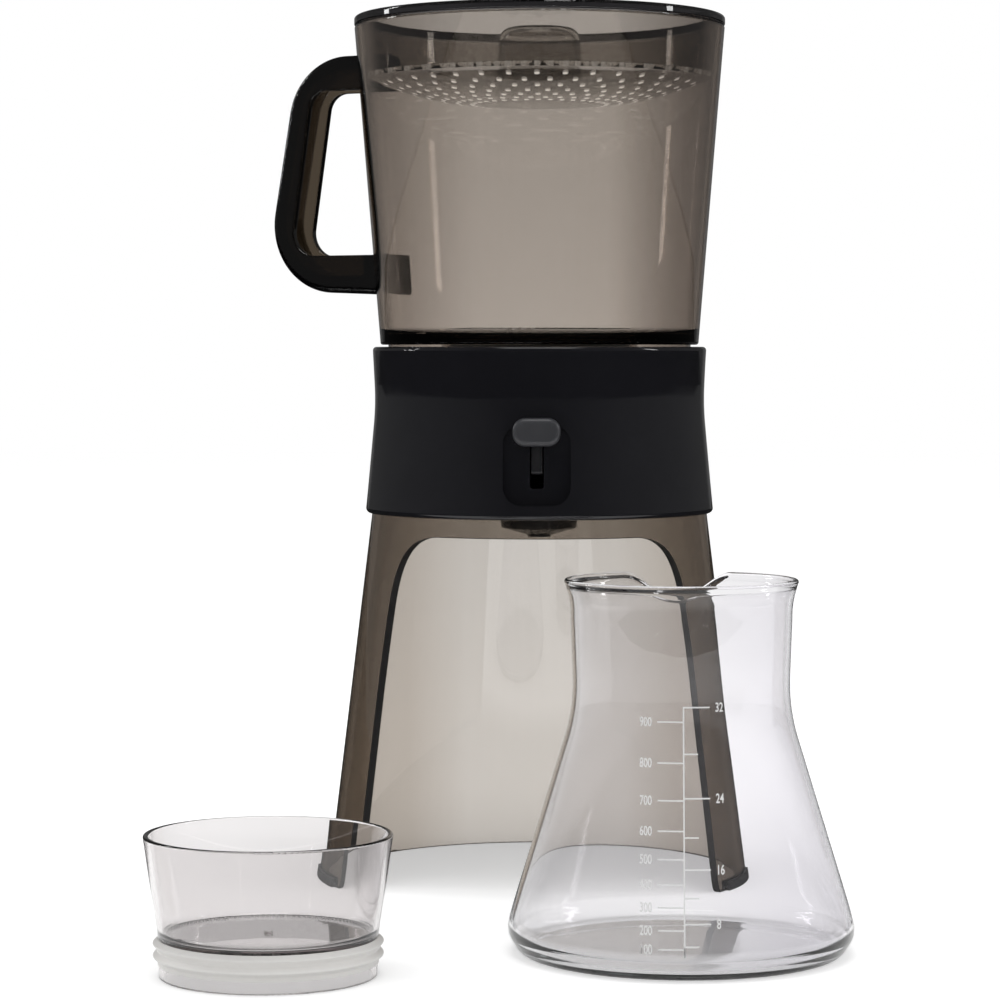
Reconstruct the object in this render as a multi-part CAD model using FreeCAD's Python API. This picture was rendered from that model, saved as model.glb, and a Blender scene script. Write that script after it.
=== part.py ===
import FreeCAD, Part
import math
import os
from FreeCAD import Vector

# Cold brew coffee maker: a tinted stand with a black collar and a drain switch, a brewing
# container with a perforated lid, a glass carafe and a stopper that is also a measuring cup.
# Millimetres, +Z up, front towards -Y. The origin is where the tower's axis meets the table.

# ---- Carafe -----------------------------------------------------------------------------
CARAFE_PLACE = Vector(57.3, -188.0, 0)
CARAFE_HEIGHT = 143.4
CARAFE_BASE_RADIUS = 67.4
CARAFE_FOOT_INSET = 5.4
CARAFE_FOOT_RADIUS = CARAFE_BASE_RADIUS - CARAFE_FOOT_INSET
CARAFE_WIDEST_HEIGHT = 8.5
CARAFE_NECK_RADIUS = 41.3
CARAFE_NECK_HEIGHT = 94.0
CARAFE_NECK_OPENING = 1.4
CARAFE_BASE_BEND = 9.0
CARAFE_NECK_BEND = 70.0
CARAFE_RIM_OPENING = 2.1
CARAFE_RIM_RADIUS = CARAFE_NECK_RADIUS + CARAFE_NECK_OPENING + CARAFE_RIM_OPENING
CARAFE_RIM_ROUNDING = 0.6
CARAFE_RIM_FLARE = 10.0
CARAFE_FOOT_CORNER = 5.0
CARAFE_FOOT_RING = 8.0
SEAM_TOLERANCE = 0.001
GLASS_WALL = 1.6
GLASS_FLOOR = 3.0
GLASS_PUSH_UP = 1.5
LIP_DROP = 10.6
LIP_MOUTH = 28.0
LIP_FLOOR = 9.0
LIP_SHOULDER = 14.0
LIP_THROAT = 7.0
LIP_REACH = 9.0
LIP_LENGTH = 30.0
LIP_SPREAD = 15.0

# ---- Stopper cup ------------------------------------------------------------------------
CUP_PLACE = Vector(-96.4, -240.0, 0)
CUP_HEIGHT = 52.4
CUP_FLARE = 5.8
CUP_WALL = 2.0
CUP_FLOOR_HEIGHT = 13.4
CUP_FLOOR = 2.2
CUP_NUB_RADIUS = 1.6
CUP_NUB_HEIGHT = 0.9
CUP_LEDGE = 0.4
GROOVE_DEPTH = 0.9
CUP_NECK_CLEARANCE = 0.6
GASKET_BOTTOM = 4.8
GASKET_TOP = 14.4
GASKET_FIN_PITCH = 4.6
GASKET_FIN_BELOW_TOP = 1.8
GASKET_FIN_HALF = 1.6
GASKET_PROUD = 0.3
GASKET_SQUEEZE = 1.8

# ---- Stand ------------------------------------------------------------------------------
FOOT_RADIUS = 92.8
STAND_TOP_RADIUS = 73.6
STAND_WALL = 3.5
NOZZLE_CLEARANCE = 5.3
NOZZLE_DROP = 10.9
STAND_HEIGHT = CARAFE_HEIGHT + NOZZLE_CLEARANCE + NOZZLE_DROP
STAND_FLANGE = 3.0
STAND_FLANGE_WIDTH = 11.6
STAND_FLANGE_BORE = STAND_TOP_RADIUS - STAND_FLANGE_WIDTH
BAY_SIDE_CLEARANCE = 7.8
BAY_TOP_INSET = 16.1156
BAY_TOP_GAP = 7.9
BAY_CORNER_RADIUS = 35.0
BAY_HAUNCH_HEIGHT = 58.0
BAY_HAUNCH_WIDTH = 6.0
BAY_HAUNCH_BEND = 400.0
LEG_CORNER_RADIUS = 4.0
PAD_ANGLE = 27.0
PAD_START_ANGLE = 4.8
PAD_SKIN = 1.2
PAD_HEIGHT = 3.6

# ---- Collar -----------------------------------------------------------------------------
COLLAR_HEIGHT = 72.8
COLLAR_FOOT_OVERHANG = 2.9
COLLAR_WAIST_INSET = 1.5
COLLAR_WAIST_RADIUS = STAND_TOP_RADIUS - COLLAR_WAIST_INSET
COLLAR_WAIST_HEIGHT = 47.7
COLLAR_TOP_INSET = 0.2
COLLAR_TOP_RADIUS = STAND_TOP_RADIUS - COLLAR_TOP_INSET
COLLAR_WALL = 2.4
COLLAR_RIM = 3.0
RECESS_WIDTH = 28.5
RECESS_HEIGHT = 34.0
RECESS_CORNER = 8.0
RECESS_DEPTH = 3.8
RECESS_BOTTOM = 6.0
RECESS_WALL = 1.6
SLOT_WIDTH = 5.8
SLOT_BOTTOM = 13.2
SLOT_HEIGHT = 26.0
PLATE = 3.0
PLATE_LIFT = 1.1
PLATE_EDGE_GAP = 0.7
DECK_WALL = 2.4
DECK_RIB = 2.0
DECK_RIB_DEPTH = 10.0
DRAIN_CLEARANCE = 3.0
RADIAL_GAP = 0.3

# ---- Brewing container ------------------------------------------------------------------
CONTAINER_HEIGHT = 139.5
CONTAINER_FOOT_INSET = 3.5
CONTAINER_FOOT_RADIUS = COLLAR_TOP_RADIUS - CONTAINER_FOOT_INSET
CONTAINER_FLARE = 11.4
CONTAINER_RIM_RADIUS = CONTAINER_FOOT_RADIUS + CONTAINER_FLARE
CONTAINER_WALL = 2.8
CONTAINER_FLOOR = 3.5
COLLAR_LINE = 0.9
NEST_INSET = 3.4
NEST_CLEARANCE = 0.6
NEST_WALL = 3.0
SUMP_RADIUS = 35.0
SUMP_WALL = 3.0
SUMP_DEPTH = 24.8
SEAT_WIDTH = 5.2
SEAT_RADIUS = SUMP_RADIUS + SEAT_WIDTH
SEAT_DEPTH = 4.8
WELL_CLEARANCE = 0.8

# ---- Handle -----------------------------------------------------------------------------
HANDLE_ANGLE = 153.9
HANDLE_WIDTH = 20.5
HANDLE_SPINE = 6.0
HANDLE_FLANGE = 3.2
HANDLE_TOP_BELOW_RIM = 9.3
HANDLE_BAR_TOP = 15.5
HANDLE_BAR_BOTTOM = 15.4
HANDLE_ABOVE_FLOOR = 25.0
HANDLE_REACH_TOP = 38.0
HANDLE_REACH_BOTTOM = 65.2
HANDLE_ROOT_DROP = 2.8
HANDLE_STAND_OFF = 2.0
HANDLE_FOOT_WIDTH = 13.0
HANDLE_FOOT_CORNER = 5.5
CHANNEL_START = 4.0
HANDLE_TOP_BEND = 30.0
HANDLE_BOTTOM_BEND = 31.0
HANDLE_GRIP_TOP = 30.4
HANDLE_GRIP_BOTTOM = 50.3
HANDLE_GRIP_TOP_BEND = 9.0
HANDLE_GRIP_BOTTOM_BEND = 11.0
HANDLE_EDGE = 2.6
SPINE_TOP_SHARE = 0.85
SPINE_BOTTOM_SHARE = 1.15

# ---- Filter -----------------------------------------------------------------------------
FILTER_HEIGHT = 4.4
FILTER_RING_WIDTH = 5.0
FILTER_GASKET_WIDTH = 1.8
MESH_THICKNESS = 0.5
MESH_LIFT = 1.6
MESH_SLOT = 1.8
MESH_PLAY = 0.1
FRAME_LIP = 1.0
FILTER_HUB_RADIUS = 4.0
GASKET_LIFT = 0.4
SPOKE_COUNT = 6
SPOKE_WIDTH = 2.0
TAB_WIDTH = 14.0
TAB_BAND = 2.2
TAB_THICKNESS = 1.0

# ---- Valve ------------------------------------------------------------------------------
TUBE_RADIUS = 8.0
TUBE_BORE = 6.2
TUBE_DROP = 13.0
TUBE_CLEARANCE = 0.2
FLANGE_RADIUS = 12.5
FLANGE_THICKNESS = 2.2
SEAL_THICKNESS = 1.0
SEAL_INSET = 0.4
HEAD_RADIUS = 10.0
HEAD_THICKNESS = 2.5
STEM_RADIUS = 2.0
RUNNING_CLEARANCE = 0.06
SPIDER_THICKNESS = 2.0
SPIDER_WALL = 1.4
STEM_GROOVE = 0.5
NUT_BEVEL = 0.9
NUT_THICKNESS = 4.0
NUT_ACROSS_FLATS = 22.0
CLIP_RADIUS = 4.2
CLIP_THICKNESS = 1.2
CLIP_ABOVE_STEM_END = 4.6
SPRING_WIRE = 0.8
SPRING_TURNS = 5
SPRING_END_GAP = 0.05
SPRING_CLEARANCE = 0.5

# ---- Switch -----------------------------------------------------------------------------
PIVOT_OFFSET = 22.0
PIVOT_LIFT = 14.3
SWITCH_TRAVEL = 16.0
TIP_ANGLE = -8.0
TIP_RADIUS = 2.5
TIP_GAP = 0.3
HUB_RADIUS = 5.0
HUB_WIDTH = 6.0
ARM_WIDTH = 4.6
ARM_HEIGHT = 6.0
ARM_NECK = 9.0
ARM_BEND = 6.0
ARM_TAPER = 2.0
HEAD_SIDE_MARGIN = 4.0
HEAD_END_MARGIN = 3.2
HEAD_HALF_DEPTH = 1.2
BLADE_DROP = 1.5
BLADE_CORNER = 1.5
PIN_RADIUS = 2.0
CHEEK_THICKNESS = 3.0
CHEEK_GAP = 0.3
CHEEK_CORNER = HUB_RADIUS - 0.1
BRACKET_FOOT = 2.4
BRACKET_SCREW_CLEARANCE = 1.2
PIN_HEAD = 1.2
PIN_PROUD = 0.8
THUMB_WIDTH = 20.1
THUMB_HEIGHT = 11.8
THUMB_THICKNESS = 7.0
THUMB_PROUD = 8.8
THUMB_END_FLAT = 0.6
THUMB_EDGE = 2.4
THUMB_HEIGHT_ABOVE_SLOT = 23.9

# ---- Spout and screws -------------------------------------------------------------------
CATCH_WALL = 2.0
CATCH_HEIGHT = 34.0
CATCH_CLEARANCE = 1.6
WINDOW_CLEARANCE = 1.2
WINDOW_RISE = 12.0
FUNNEL_RADIUS = 17.4
CATCH_INSET = 4.4
CATCH_RADIUS = FUNNEL_RADIUS - CATCH_INSET
FUNNEL_DRAFT = 1.0
FUNNEL_SHOULDER = 4.1
FUNNEL_BEND = 1.2
FUNNEL_FLOOR = 2.2
NOZZLE_RADIUS = 5.3
NOZZLE_BORE = 3.0
NOZZLE_LENGTH = 0.8
SPOUT_FLANGE_WIDTH = 7.1
SPOUT_FLANGE_RADIUS = FUNNEL_RADIUS + SPOUT_FLANGE_WIDTH
SPOUT_FLANGE = 2.0
POST_RADIUS = 4.2
POST_INSET = 5.0
POST_CIRCLE = STAND_FLANGE_BORE - POST_INSET
SCREW_RADIUS = 1.5
SCREW_HEAD_RADIUS = 3.0
SCREW_HEAD = 1.6
SCREW_REACH = 12.0
SCREW_PLAY = 0.2
PILOT_FLOOR = 0.8
DRIVE_WIDTH = 0.7
DRIVE_DEPTH = 0.6
SMALL_SCREW_RADIUS = 1.1
SMALL_HEAD_RADIUS = 2.1

# ---- Lid --------------------------------------------------------------------------------
LID_FLANGE = 4.2
LID_OVERHANG = 0.1
LID_FLANGE_RADIUS = CONTAINER_RIM_RADIUS + LID_OVERHANG
LID_SHADOW_GAP = 0.6
LID_SHADOW_WIDTH = 2.4
LID_CLEARANCE = 0.8
LID_WALL = 2.2
TRAY_DEPTH = 23.3
PLATE_WALL = 2.2
DISH_DEPTH = 10.9
KNOB_RADIUS = 19.2
DISH_FLAT_MARGIN = 2.8
DISH_FLAT_RADIUS = KNOB_RADIUS + DISH_FLAT_MARGIN
HOLE_RADIUS = 1.15
HOLES_PER_RING = 36
HOLE_RINGS = 7
HOLE_START_MARGIN = 7.6
HOLE_RING_FIRST = DISH_FLAT_RADIUS + HOLE_START_MARGIN
HOLE_EDGE_MARGIN = 5.9
KNOB_DRAFT = 1.4
KNOB_TOP_RADIUS = KNOB_RADIUS - KNOB_DRAFT
KNOB_WALL = 2.0
KNOB_BELOW_LID_TOP = 3.8
KNOB_CORNER = 6.0
KNOB_CROWN = 0.8

# ---- Levels worked out from the dimensions above ----------------------------------------
COLLAR_TOP = STAND_HEIGHT + COLLAR_HEIGHT
DECK_TOP = COLLAR_TOP - COLLAR_RIM
CONTAINER_BOTTOM = COLLAR_TOP + COLLAR_LINE
FLOOR_TOP = CONTAINER_BOTTOM + CONTAINER_FLOOR
CONTAINER_RIM = CONTAINER_BOTTOM + CONTAINER_HEIGHT
LID_TOP = CONTAINER_RIM + LID_FLANGE
SUMP_FLOOR = FLOOR_TOP - SUMP_DEPTH
SUMP_BOTTOM = SUMP_FLOOR - SUMP_WALL
FILTER_SEAT = FLOOR_TOP - SEAT_DEPTH
FLANGE_BASE = SUMP_FLOOR + SEAL_THICKNESS
VALVE_SEAT = FLANGE_BASE + FLANGE_THICKNESS
HEAD_BASE = VALVE_SEAT + SEAL_THICKNESS
TUBE_END = SUMP_BOTTOM - TUBE_DROP
PLATE_BASE = STAND_HEIGHT + PLATE_LIFT
PLATE_TOP = PLATE_BASE + PLATE
POST_BASE = PLATE_TOP + STAND_FLANGE
PIVOT_HEIGHT = PLATE_TOP + PIVOT_LIFT
TIP_HEIGHT = PIVOT_HEIGHT + PIVOT_OFFSET * math.tan(math.radians(TIP_ANGLE))
STEM_END = TIP_HEIGHT + TIP_RADIUS + TIP_GAP
CLIP_BASE = STEM_END + CLIP_ABOVE_STEM_END
TRAY_BOTTOM = CONTAINER_RIM - TRAY_DEPTH

# The stopper's skirt and gasket are sized from the neck's bore a little below the rim.
NECK_BORE = CARAFE_NECK_RADIUS + CARAFE_NECK_OPENING - GLASS_WALL
SKIRT_RADIUS = NECK_BORE - CUP_NECK_CLEARANCE
GASKET_RADIUS = NECK_BORE + GASKET_SQUEEZE


def rounded_wire(corners):
    """A closed wire in the XZ plane through (x, z) or (x, z, fillet radius) corners."""
    points = [Vector(c[0], 0, c[1]) for c in corners]
    radii = [c[2] if len(c) > 2 else 0 for c in corners]
    count = len(points)
    ends = []
    edges = []
    for i in range(count):
        here = points[i]
        to_last = (points[i - 1] - here).normalize()
        to_next = (points[(i + 1) % count] - here).normalize()
        if radii[i] == 0:
            ends.append((here, here, None))
            continue
        half = to_last.getAngle(to_next) / 2
        reach = radii[i] / math.tan(half)
        bisector = (to_last + to_next).normalize()
        middle = here + bisector * (radii[i] / math.sin(half) - radii[i])
        ends.append((here + to_last * reach, here + to_next * reach, middle))
    for i in range(count):
        start, stop, middle = ends[i]
        if middle is not None:
            edges.append(Part.Arc(start, middle, stop).toShape())
        following = ends[(i + 1) % count][0]
        if (following - stop).Length > 1e-6:
            edges.append(Part.LineSegment(stop, following).toShape())
    return Part.Wire(edges)


def turned(corners, degrees=360):
    """A solid of revolution about +Z from a closed outline of (radius, z, fillet) corners."""
    return Part.Face(rounded_wire(corners)).revolve(Vector(0, 0, 0), Vector(0, 0, 1), degrees)


def cut_out(corners, front, back):
    """The XZ outline as a block that runs from y = front to y = back."""
    face = Part.Face(rounded_wire(corners))
    face.translate(Vector(0, front, 0))
    return face.extrude(Vector(0, back - front, 0))


def side_plate(corners, width):
    """A plate across the YZ plane: (y, z, fillet) corners, centred on x = 0."""
    block = cut_out(corners, -width / 2, width / 2)
    block.rotate(Vector(0, 0, 0), Vector(0, 0, 1), 90)
    return block


def rod(radius, bottom, top, x=0, y=0):
    return Part.makeCylinder(radius, top - bottom, Vector(x, y, bottom))


def cross_rod(radius, half_length, y, z):
    """A cylinder along X, centred on x = 0."""
    return Part.makeCylinder(radius, 2 * half_length, Vector(-half_length, y, z), Vector(1, 0, 0))


def box(low, high):
    size = high - low
    return Part.makeBox(size.x, size.y, size.z, low)


def turned_to(shape, degrees):
    copy = shape.copy()
    copy.rotate(Vector(0, 0, 0), Vector(0, 0, 1), degrees)
    return copy


def around(shape, count, first=0):
    return [turned_to(shape, first + 360 * i / count) for i in range(count)]


def fused(shapes):
    return shapes[0].multiFuse(shapes[1:]).removeSplitter()


def save(name, shape):
    shape.exportStep(os.path.join("parts", name + ".step"))


def post_places():
    """The four screw posts, on the diagonals."""
    radians = [math.radians(45 + 90 * i) for i in range(4)]
    return [(POST_CIRCLE * math.cos(a), POST_CIRCLE * math.sin(a)) for a in radians]


def spout_screw_places():
    """Three screws through the drip spout's flange, clear of the lever at the front."""
    circle = (FUNNEL_RADIUS + SPOUT_FLANGE_RADIUS) / 2
    radians = [math.radians(angle) for angle in (10, 90, 170)]
    return [(circle * math.cos(a), circle * math.sin(a)) for a in radians]


def bracket_screw_places():
    reach = bracket_half_width() + SMALL_HEAD_RADIUS + BRACKET_SCREW_CLEARANCE
    return [(-reach, -PIVOT_OFFSET), (reach, -PIVOT_OFFSET)]


# ---- Stand shell ------------------------------------------------------------------------

def stand_radius(z):
    return FOOT_RADIUS - (FOOT_RADIUS - STAND_TOP_RADIUS) * z / STAND_HEIGHT


def bay_half_width(z):
    foot = CARAFE_BASE_RADIUS + BAY_SIDE_CLEARANCE
    head = STAND_TOP_RADIUS - BAY_TOP_INSET
    return foot + (head - foot) * z / STAND_HEIGHT


def leg_depth(z):
    """How far in front of the tower's axis the legs end on their inner side, at a height."""
    return math.sqrt((stand_radius(z) - STAND_WALL) ** 2 - bay_half_width(z) ** 2)


def leg_end_angle():
    """Where a leg ends at the table, as an angle from the X axis in the front half."""
    return math.degrees(math.atan2(leg_depth(0), bay_half_width(0)))


def bay_tool():
    """The arch, with haunches, round top corners and round feet; its sides run in towards the
    tower's axis, so that the cut edge is square to the wall."""
    top = STAND_HEIGHT - BAY_TOP_GAP
    foot = bay_half_width(0)
    head = bay_half_width(top) * leg_depth(0) / leg_depth(top)
    haunch = top - BAY_HAUNCH_HEIGHT
    jamb = head + (foot - head) * BAY_HAUNCH_HEIGHT / top
    crown = head - BAY_HAUNCH_WIDTH
    side = FOOT_RADIUS + 10
    outline = rounded_wire([
        (-side, -10), (-side, 0), (-foot, 0, LEG_CORNER_RADIUS), (-jamb, haunch, BAY_HAUNCH_BEND),
        (-crown, top, BAY_CORNER_RADIUS), (crown, top, BAY_CORNER_RADIUS),
        (jamb, haunch, BAY_HAUNCH_BEND), (foot, 0, LEG_CORNER_RADIUS), (side, 0), (side, -10),
    ])

    def section(share):
        """The outline at a share of the legs' distance from the axis."""
        narrowed = FreeCAD.Matrix()
        narrowed.scale(share, 1, 1)
        wire = outline.transformGeometry(narrowed)
        wire.translate(Vector(0, -share * leg_depth(0), 0))
        return wire

    return Part.makeLoft([section(0.1), section(2.2)], True, True)


def pad_rings(low, high, spread):
    """Two short pieces of ring under the legs' front corners."""
    outline = [
        (FOOT_RADIUS - STAND_WALL - spread, low), (FOOT_RADIUS + spread, low),
        (stand_radius(high) + spread, high), (stand_radius(high) - STAND_WALL - spread, high),
    ]
    ring = turned(outline, PAD_ANGLE)
    first = leg_end_angle() - PAD_START_ANGLE
    right = turned_to(ring, -first)
    left = turned_to(ring, first - 180 - PAD_ANGLE)
    return right, left


def make_stand_shell():
    top = POST_BASE
    flange = PLATE_TOP
    shell = turned([
        (FOOT_RADIUS, 0, 0.8), (stand_radius(top), top),
        (STAND_FLANGE_BORE, top), (STAND_FLANGE_BORE, flange, 0.6),
        (stand_radius(flange) - STAND_WALL, flange, 2.0), (FOOT_RADIUS - STAND_WALL, 0, 0.8),
    ])
    shell = shell.cut(bay_tool())
    for pad in pad_rings(-1, PAD_SKIN, 1):
        shell = shell.cut(pad)
    for x, y in post_places():
        shell = shell.cut(rod(SCREW_RADIUS + SCREW_PLAY, flange - 1, top + 1, x, y))
    return shell.cut(recess_block(RECESS_WALL + RADIAL_GAP, 0))


def make_foot_pads(shell):
    """Clip-on pads: each wraps the shell's lower edge inside, outside and underneath."""
    return Part.makeCompound([pad.cut(shell) for pad in pad_rings(0, PAD_HEIGHT, PAD_SKIN)])


# ---- Collar -----------------------------------------------------------------------------

def collar_outline(inset, top, bottom):
    """The waisted side of the collar, offset inwards, from its top to its bottom."""
    foot = STAND_TOP_RADIUS + COLLAR_FOOT_OVERHANG
    waist = STAND_HEIGHT + COLLAR_WAIST_HEIGHT
    upper = (COLLAR_TOP_RADIUS - COLLAR_WAIST_RADIUS) / (COLLAR_TOP - waist)
    lower = (foot - COLLAR_WAIST_RADIUS) / (waist - STAND_HEIGHT)
    return [
        (COLLAR_WAIST_RADIUS + upper * (top - waist) - inset, top),
        (COLLAR_WAIST_RADIUS - inset, waist, 120.0),
        (COLLAR_WAIST_RADIUS + lower * (waist - bottom) - inset, bottom),
    ]


def collar_front(z):
    """The y of the collar's front at a height, on its lower, straight flank."""
    foot = STAND_TOP_RADIUS + COLLAR_FOOT_OVERHANG
    share = (z - STAND_HEIGHT) / COLLAR_WAIST_HEIGHT
    return -(foot + (COLLAR_WAIST_RADIUS - foot) * share)


def recess_floor():
    return collar_front(STAND_HEIGHT + RECESS_BOTTOM + RECESS_HEIGHT / 2) + RECESS_DEPTH


def rounded_rectangle(width, bottom, height, corner):
    half = width / 2
    top = bottom + height
    return [
        (-half, bottom, corner), (half, bottom, corner), (half, top, corner), (-half, top, corner),
    ]


def recess_block(spread, back):
    """The switch recess, widened all round by spread, from in front of the collar to a depth."""
    outline = rounded_rectangle(
        RECESS_WIDTH + 2 * spread, STAND_HEIGHT + RECESS_BOTTOM - spread,
        RECESS_HEIGHT + 2 * spread, RECESS_CORNER + spread)
    return cut_out(outline, -FOOT_RADIUS, back)


def throat_radius():
    """The hole in the collar's top, round the container's nesting ring."""
    return nest_radius() + NEST_CLEARANCE


def nest_radius():
    return CONTAINER_FOOT_RADIUS - NEST_INSET


def make_collar():
    outer = collar_outline(0, COLLAR_TOP, STAND_HEIGHT)
    inner = collar_outline(COLLAR_WALL, DECK_TOP, STAND_HEIGHT)
    collar = turned([
        (outer[0][0], outer[0][1], 1.6), outer[1], (outer[2][0], outer[2][1], 2.0),
        (inner[2][0], inner[2][1], 0.3), inner[1], inner[0],
        (throat_radius(), DECK_TOP), (throat_radius(), COLLAR_TOP, 0.8),
    ])
    inside_face = turned([
        (0, STAND_HEIGHT), (outer[2][0] - 1, STAND_HEIGHT), (outer[1][0] - 1, outer[1][1]),
        (0, outer[1][1]),
    ])
    backing = recess_block(RECESS_WALL, recess_floor() + COLLAR_WALL).common(inside_face)
    recess = recess_block(0, recess_floor())
    slot = cut_out(
        rounded_rectangle(SLOT_WIDTH, STAND_HEIGHT + SLOT_BOTTOM, SLOT_HEIGHT, 1.2),
        -FOOT_RADIUS, recess_floor() + COLLAR_WALL + 3)
    return collar.fuse(backing).removeSplitter().cut(recess).cut(slot)


def make_collar_deck():
    """The container's seat: a deck with a well, four screw posts and ribs between them."""
    under = DECK_TOP - PLATE
    edge = collar_outline(COLLAR_WALL, under, STAND_HEIGHT)[0][0] - RADIAL_GAP
    well = SUMP_RADIUS + SUMP_WALL + WELL_CLEARANCE
    well_floor = SUMP_BOTTOM - RADIAL_GAP
    drain = NUT_ACROSS_FLATS / math.sqrt(3) + DRAIN_CLEARANCE
    deck = turned([
        (edge, DECK_TOP, 0.4), (edge, under, 0.4), (well + DECK_WALL, under),
        (well + DECK_WALL, well_floor - DECK_WALL), (drain, well_floor - DECK_WALL),
        (drain, well_floor), (well, well_floor), (well, DECK_TOP, 0.6),
    ])
    shapes = [deck]
    for x, y in post_places():
        shapes.append(rod(POST_RADIUS, POST_BASE, under + 1, x, y))
    half_rib = DECK_RIB / 2
    rib = box(Vector(well + 1, -half_rib, under - DECK_RIB_DEPTH), Vector(POST_CIRCLE, half_rib, under + 1))
    shapes += around(rib, 4, 45)
    deck = fused(shapes)
    for x, y in post_places():
        deck = deck.cut(rod(SCREW_RADIUS, POST_BASE - 1, POST_BASE + SCREW_REACH + 2, x, y))
    return deck


def make_base_plate():
    """The cover under the collar, inside the top of the stand shell."""
    radius = stand_radius(PLATE_TOP) - STAND_WALL - PLATE_EDGE_GAP
    hole = FUNNEL_RADIUS + RADIAL_GAP
    plate = turned([
        (radius, PLATE_BASE, 1.0), (radius, PLATE_TOP, 2.0), (hole, PLATE_TOP), (hole, PLATE_BASE, 0.4),
    ])
    for x, y in post_places():
        plate = plate.cut(rod(SCREW_RADIUS + SCREW_PLAY, PLATE_BASE - 1, PLATE_TOP + 1, x, y))
    for x, y in spout_screw_places() + bracket_screw_places():
        plate = plate.cut(rod(SMALL_SCREW_RADIUS, PLATE_BASE + PILOT_FLOOR, PLATE_TOP + 1, x, y))
    return plate


def make_drip_spout():
    """Catch cup, flange and funnel in one; the lever reaches in through the front window."""
    inner = CATCH_RADIUS - CATCH_WALL
    top = PLATE_TOP + CATCH_HEIGHT
    flange = PLATE_TOP + SPOUT_FLANGE
    tip = STAND_HEIGHT - NOZZLE_DROP
    spout = turned([
        (inner, top, 0.6), (CATCH_RADIUS, top, 0.6), (CATCH_RADIUS, flange),
        (SPOUT_FLANGE_RADIUS, flange, 0.5), (SPOUT_FLANGE_RADIUS, PLATE_TOP),
        (FUNNEL_RADIUS, PLATE_TOP), (FUNNEL_RADIUS - FUNNEL_DRAFT, tip + FUNNEL_SHOULDER, FUNNEL_BEND),
        (NOZZLE_RADIUS, tip + NOZZLE_LENGTH, 0.5), (NOZZLE_RADIUS - 0.2, tip), (NOZZLE_BORE, tip),
        (NOZZLE_BORE, tip + NOZZLE_LENGTH + FUNNEL_FLOOR),
        (inner, tip + FUNNEL_SHOULDER + FUNNEL_FLOOR, 2.0),
    ])
    window = box(
        Vector(-ARM_WIDTH / 2 - WINDOW_CLEARANCE, -CATCH_RADIUS - 1, flange + CATCH_WALL),
        Vector(ARM_WIDTH / 2 + WINDOW_CLEARANCE, 0, PIVOT_HEIGHT + WINDOW_RISE))
    front = box(
        Vector(-SPOUT_FLANGE_RADIUS, -SPOUT_FLANGE_RADIUS - 1, PLATE_TOP),
        Vector(SPOUT_FLANGE_RADIUS, -CATCH_RADIUS - WINDOW_CLEARANCE, flange + 1))
    spout = spout.cut(window).cut(front)
    for x, y in spout_screw_places():
        spout = spout.cut(rod(SMALL_SCREW_RADIUS + SCREW_PLAY, PLATE_TOP - 1, flange + 1, x, y))
    return spout


def screw(radius, head_radius, head_base, end, x, y):
    """A pan-head screw along Z; the head sits on head_base on the side away from end."""
    sense = 1 if end > head_base else -1
    head = turned([
        (0, 0), (0, -SCREW_HEAD), (head_radius, -SCREW_HEAD, 0.5), (head_radius, 0),
    ])
    half = DRIVE_WIDTH / 2
    drive = box(
        Vector(-head_radius, -half, -SCREW_HEAD - 1), Vector(head_radius, half, -SCREW_HEAD + DRIVE_DEPTH))
    head = head.cut(drive).cut(turned_to(drive, 90))
    shaft = Part.makeCylinder(radius, abs(end - head_base))
    part = head.fuse(shaft).removeSplitter()
    if sense < 0:
        part.rotate(Vector(0, 0, 0), Vector(1, 0, 0), 180)
    part.translate(Vector(x, y, head_base))
    return part


def make_case_screws():
    end = POST_BASE + SCREW_REACH
    return Part.makeCompound([
        screw(SCREW_RADIUS, SCREW_HEAD_RADIUS, PLATE_BASE, end, x, y) for x, y in post_places()])


def make_spout_screws():
    head_base = PLATE_TOP + SPOUT_FLANGE
    return Part.makeCompound([
        screw(SMALL_SCREW_RADIUS, SMALL_HEAD_RADIUS, head_base, PLATE_BASE + 1, x, y)
        for x, y in spout_screw_places()])


# ---- Switch -----------------------------------------------------------------------------

def bracket_half_width():
    return HUB_WIDTH / 2 + CHEEK_GAP + CHEEK_THICKNESS


def make_lever_bracket():
    """Two cheeks on a foot plate, bored for the pin."""
    reach = bracket_screw_places()[1][0] + SMALL_HEAD_RADIUS + 1
    front = -PIVOT_OFFSET - HUB_RADIUS
    back = -CATCH_RADIUS - CATCH_CLEARANCE
    foot_top = PLATE_TOP + BRACKET_FOOT
    top = PIVOT_HEIGHT + HUB_RADIUS
    foot = box(Vector(-reach, front, PLATE_TOP), Vector(reach, back - 1, foot_top))
    cheek_outline = [
        (front, PLATE_TOP + 1), (front, top, CHEEK_CORNER),
        (-PIVOT_OFFSET + HUB_RADIUS, top, CHEEK_CORNER), (back - 1, PLATE_TOP + 1),
    ]
    block = side_plate(cheek_outline, 2 * bracket_half_width())
    inside = bracket_half_width() - CHEEK_THICKNESS
    gap = box(Vector(-inside, front - 1, foot_top), Vector(inside, back + 9, top + 1))
    bracket = foot.fuse(block.cut(gap)).removeSplitter()
    bracket = bracket.cut(cross_rod(PIN_RADIUS, reach, -PIVOT_OFFSET, PIVOT_HEIGHT))
    for x, y in bracket_screw_places():
        bracket = bracket.cut(rod(SMALL_SCREW_RADIUS + SCREW_PLAY, PLATE_TOP - 1, foot_top + 1, x, y))
    return bracket


def make_bracket_screws():
    return Part.makeCompound([
        screw(SMALL_SCREW_RADIUS, SMALL_HEAD_RADIUS, PLATE_TOP + BRACKET_FOOT, PLATE_BASE + 1, x, y)
        for x, y in bracket_screw_places()])


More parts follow.
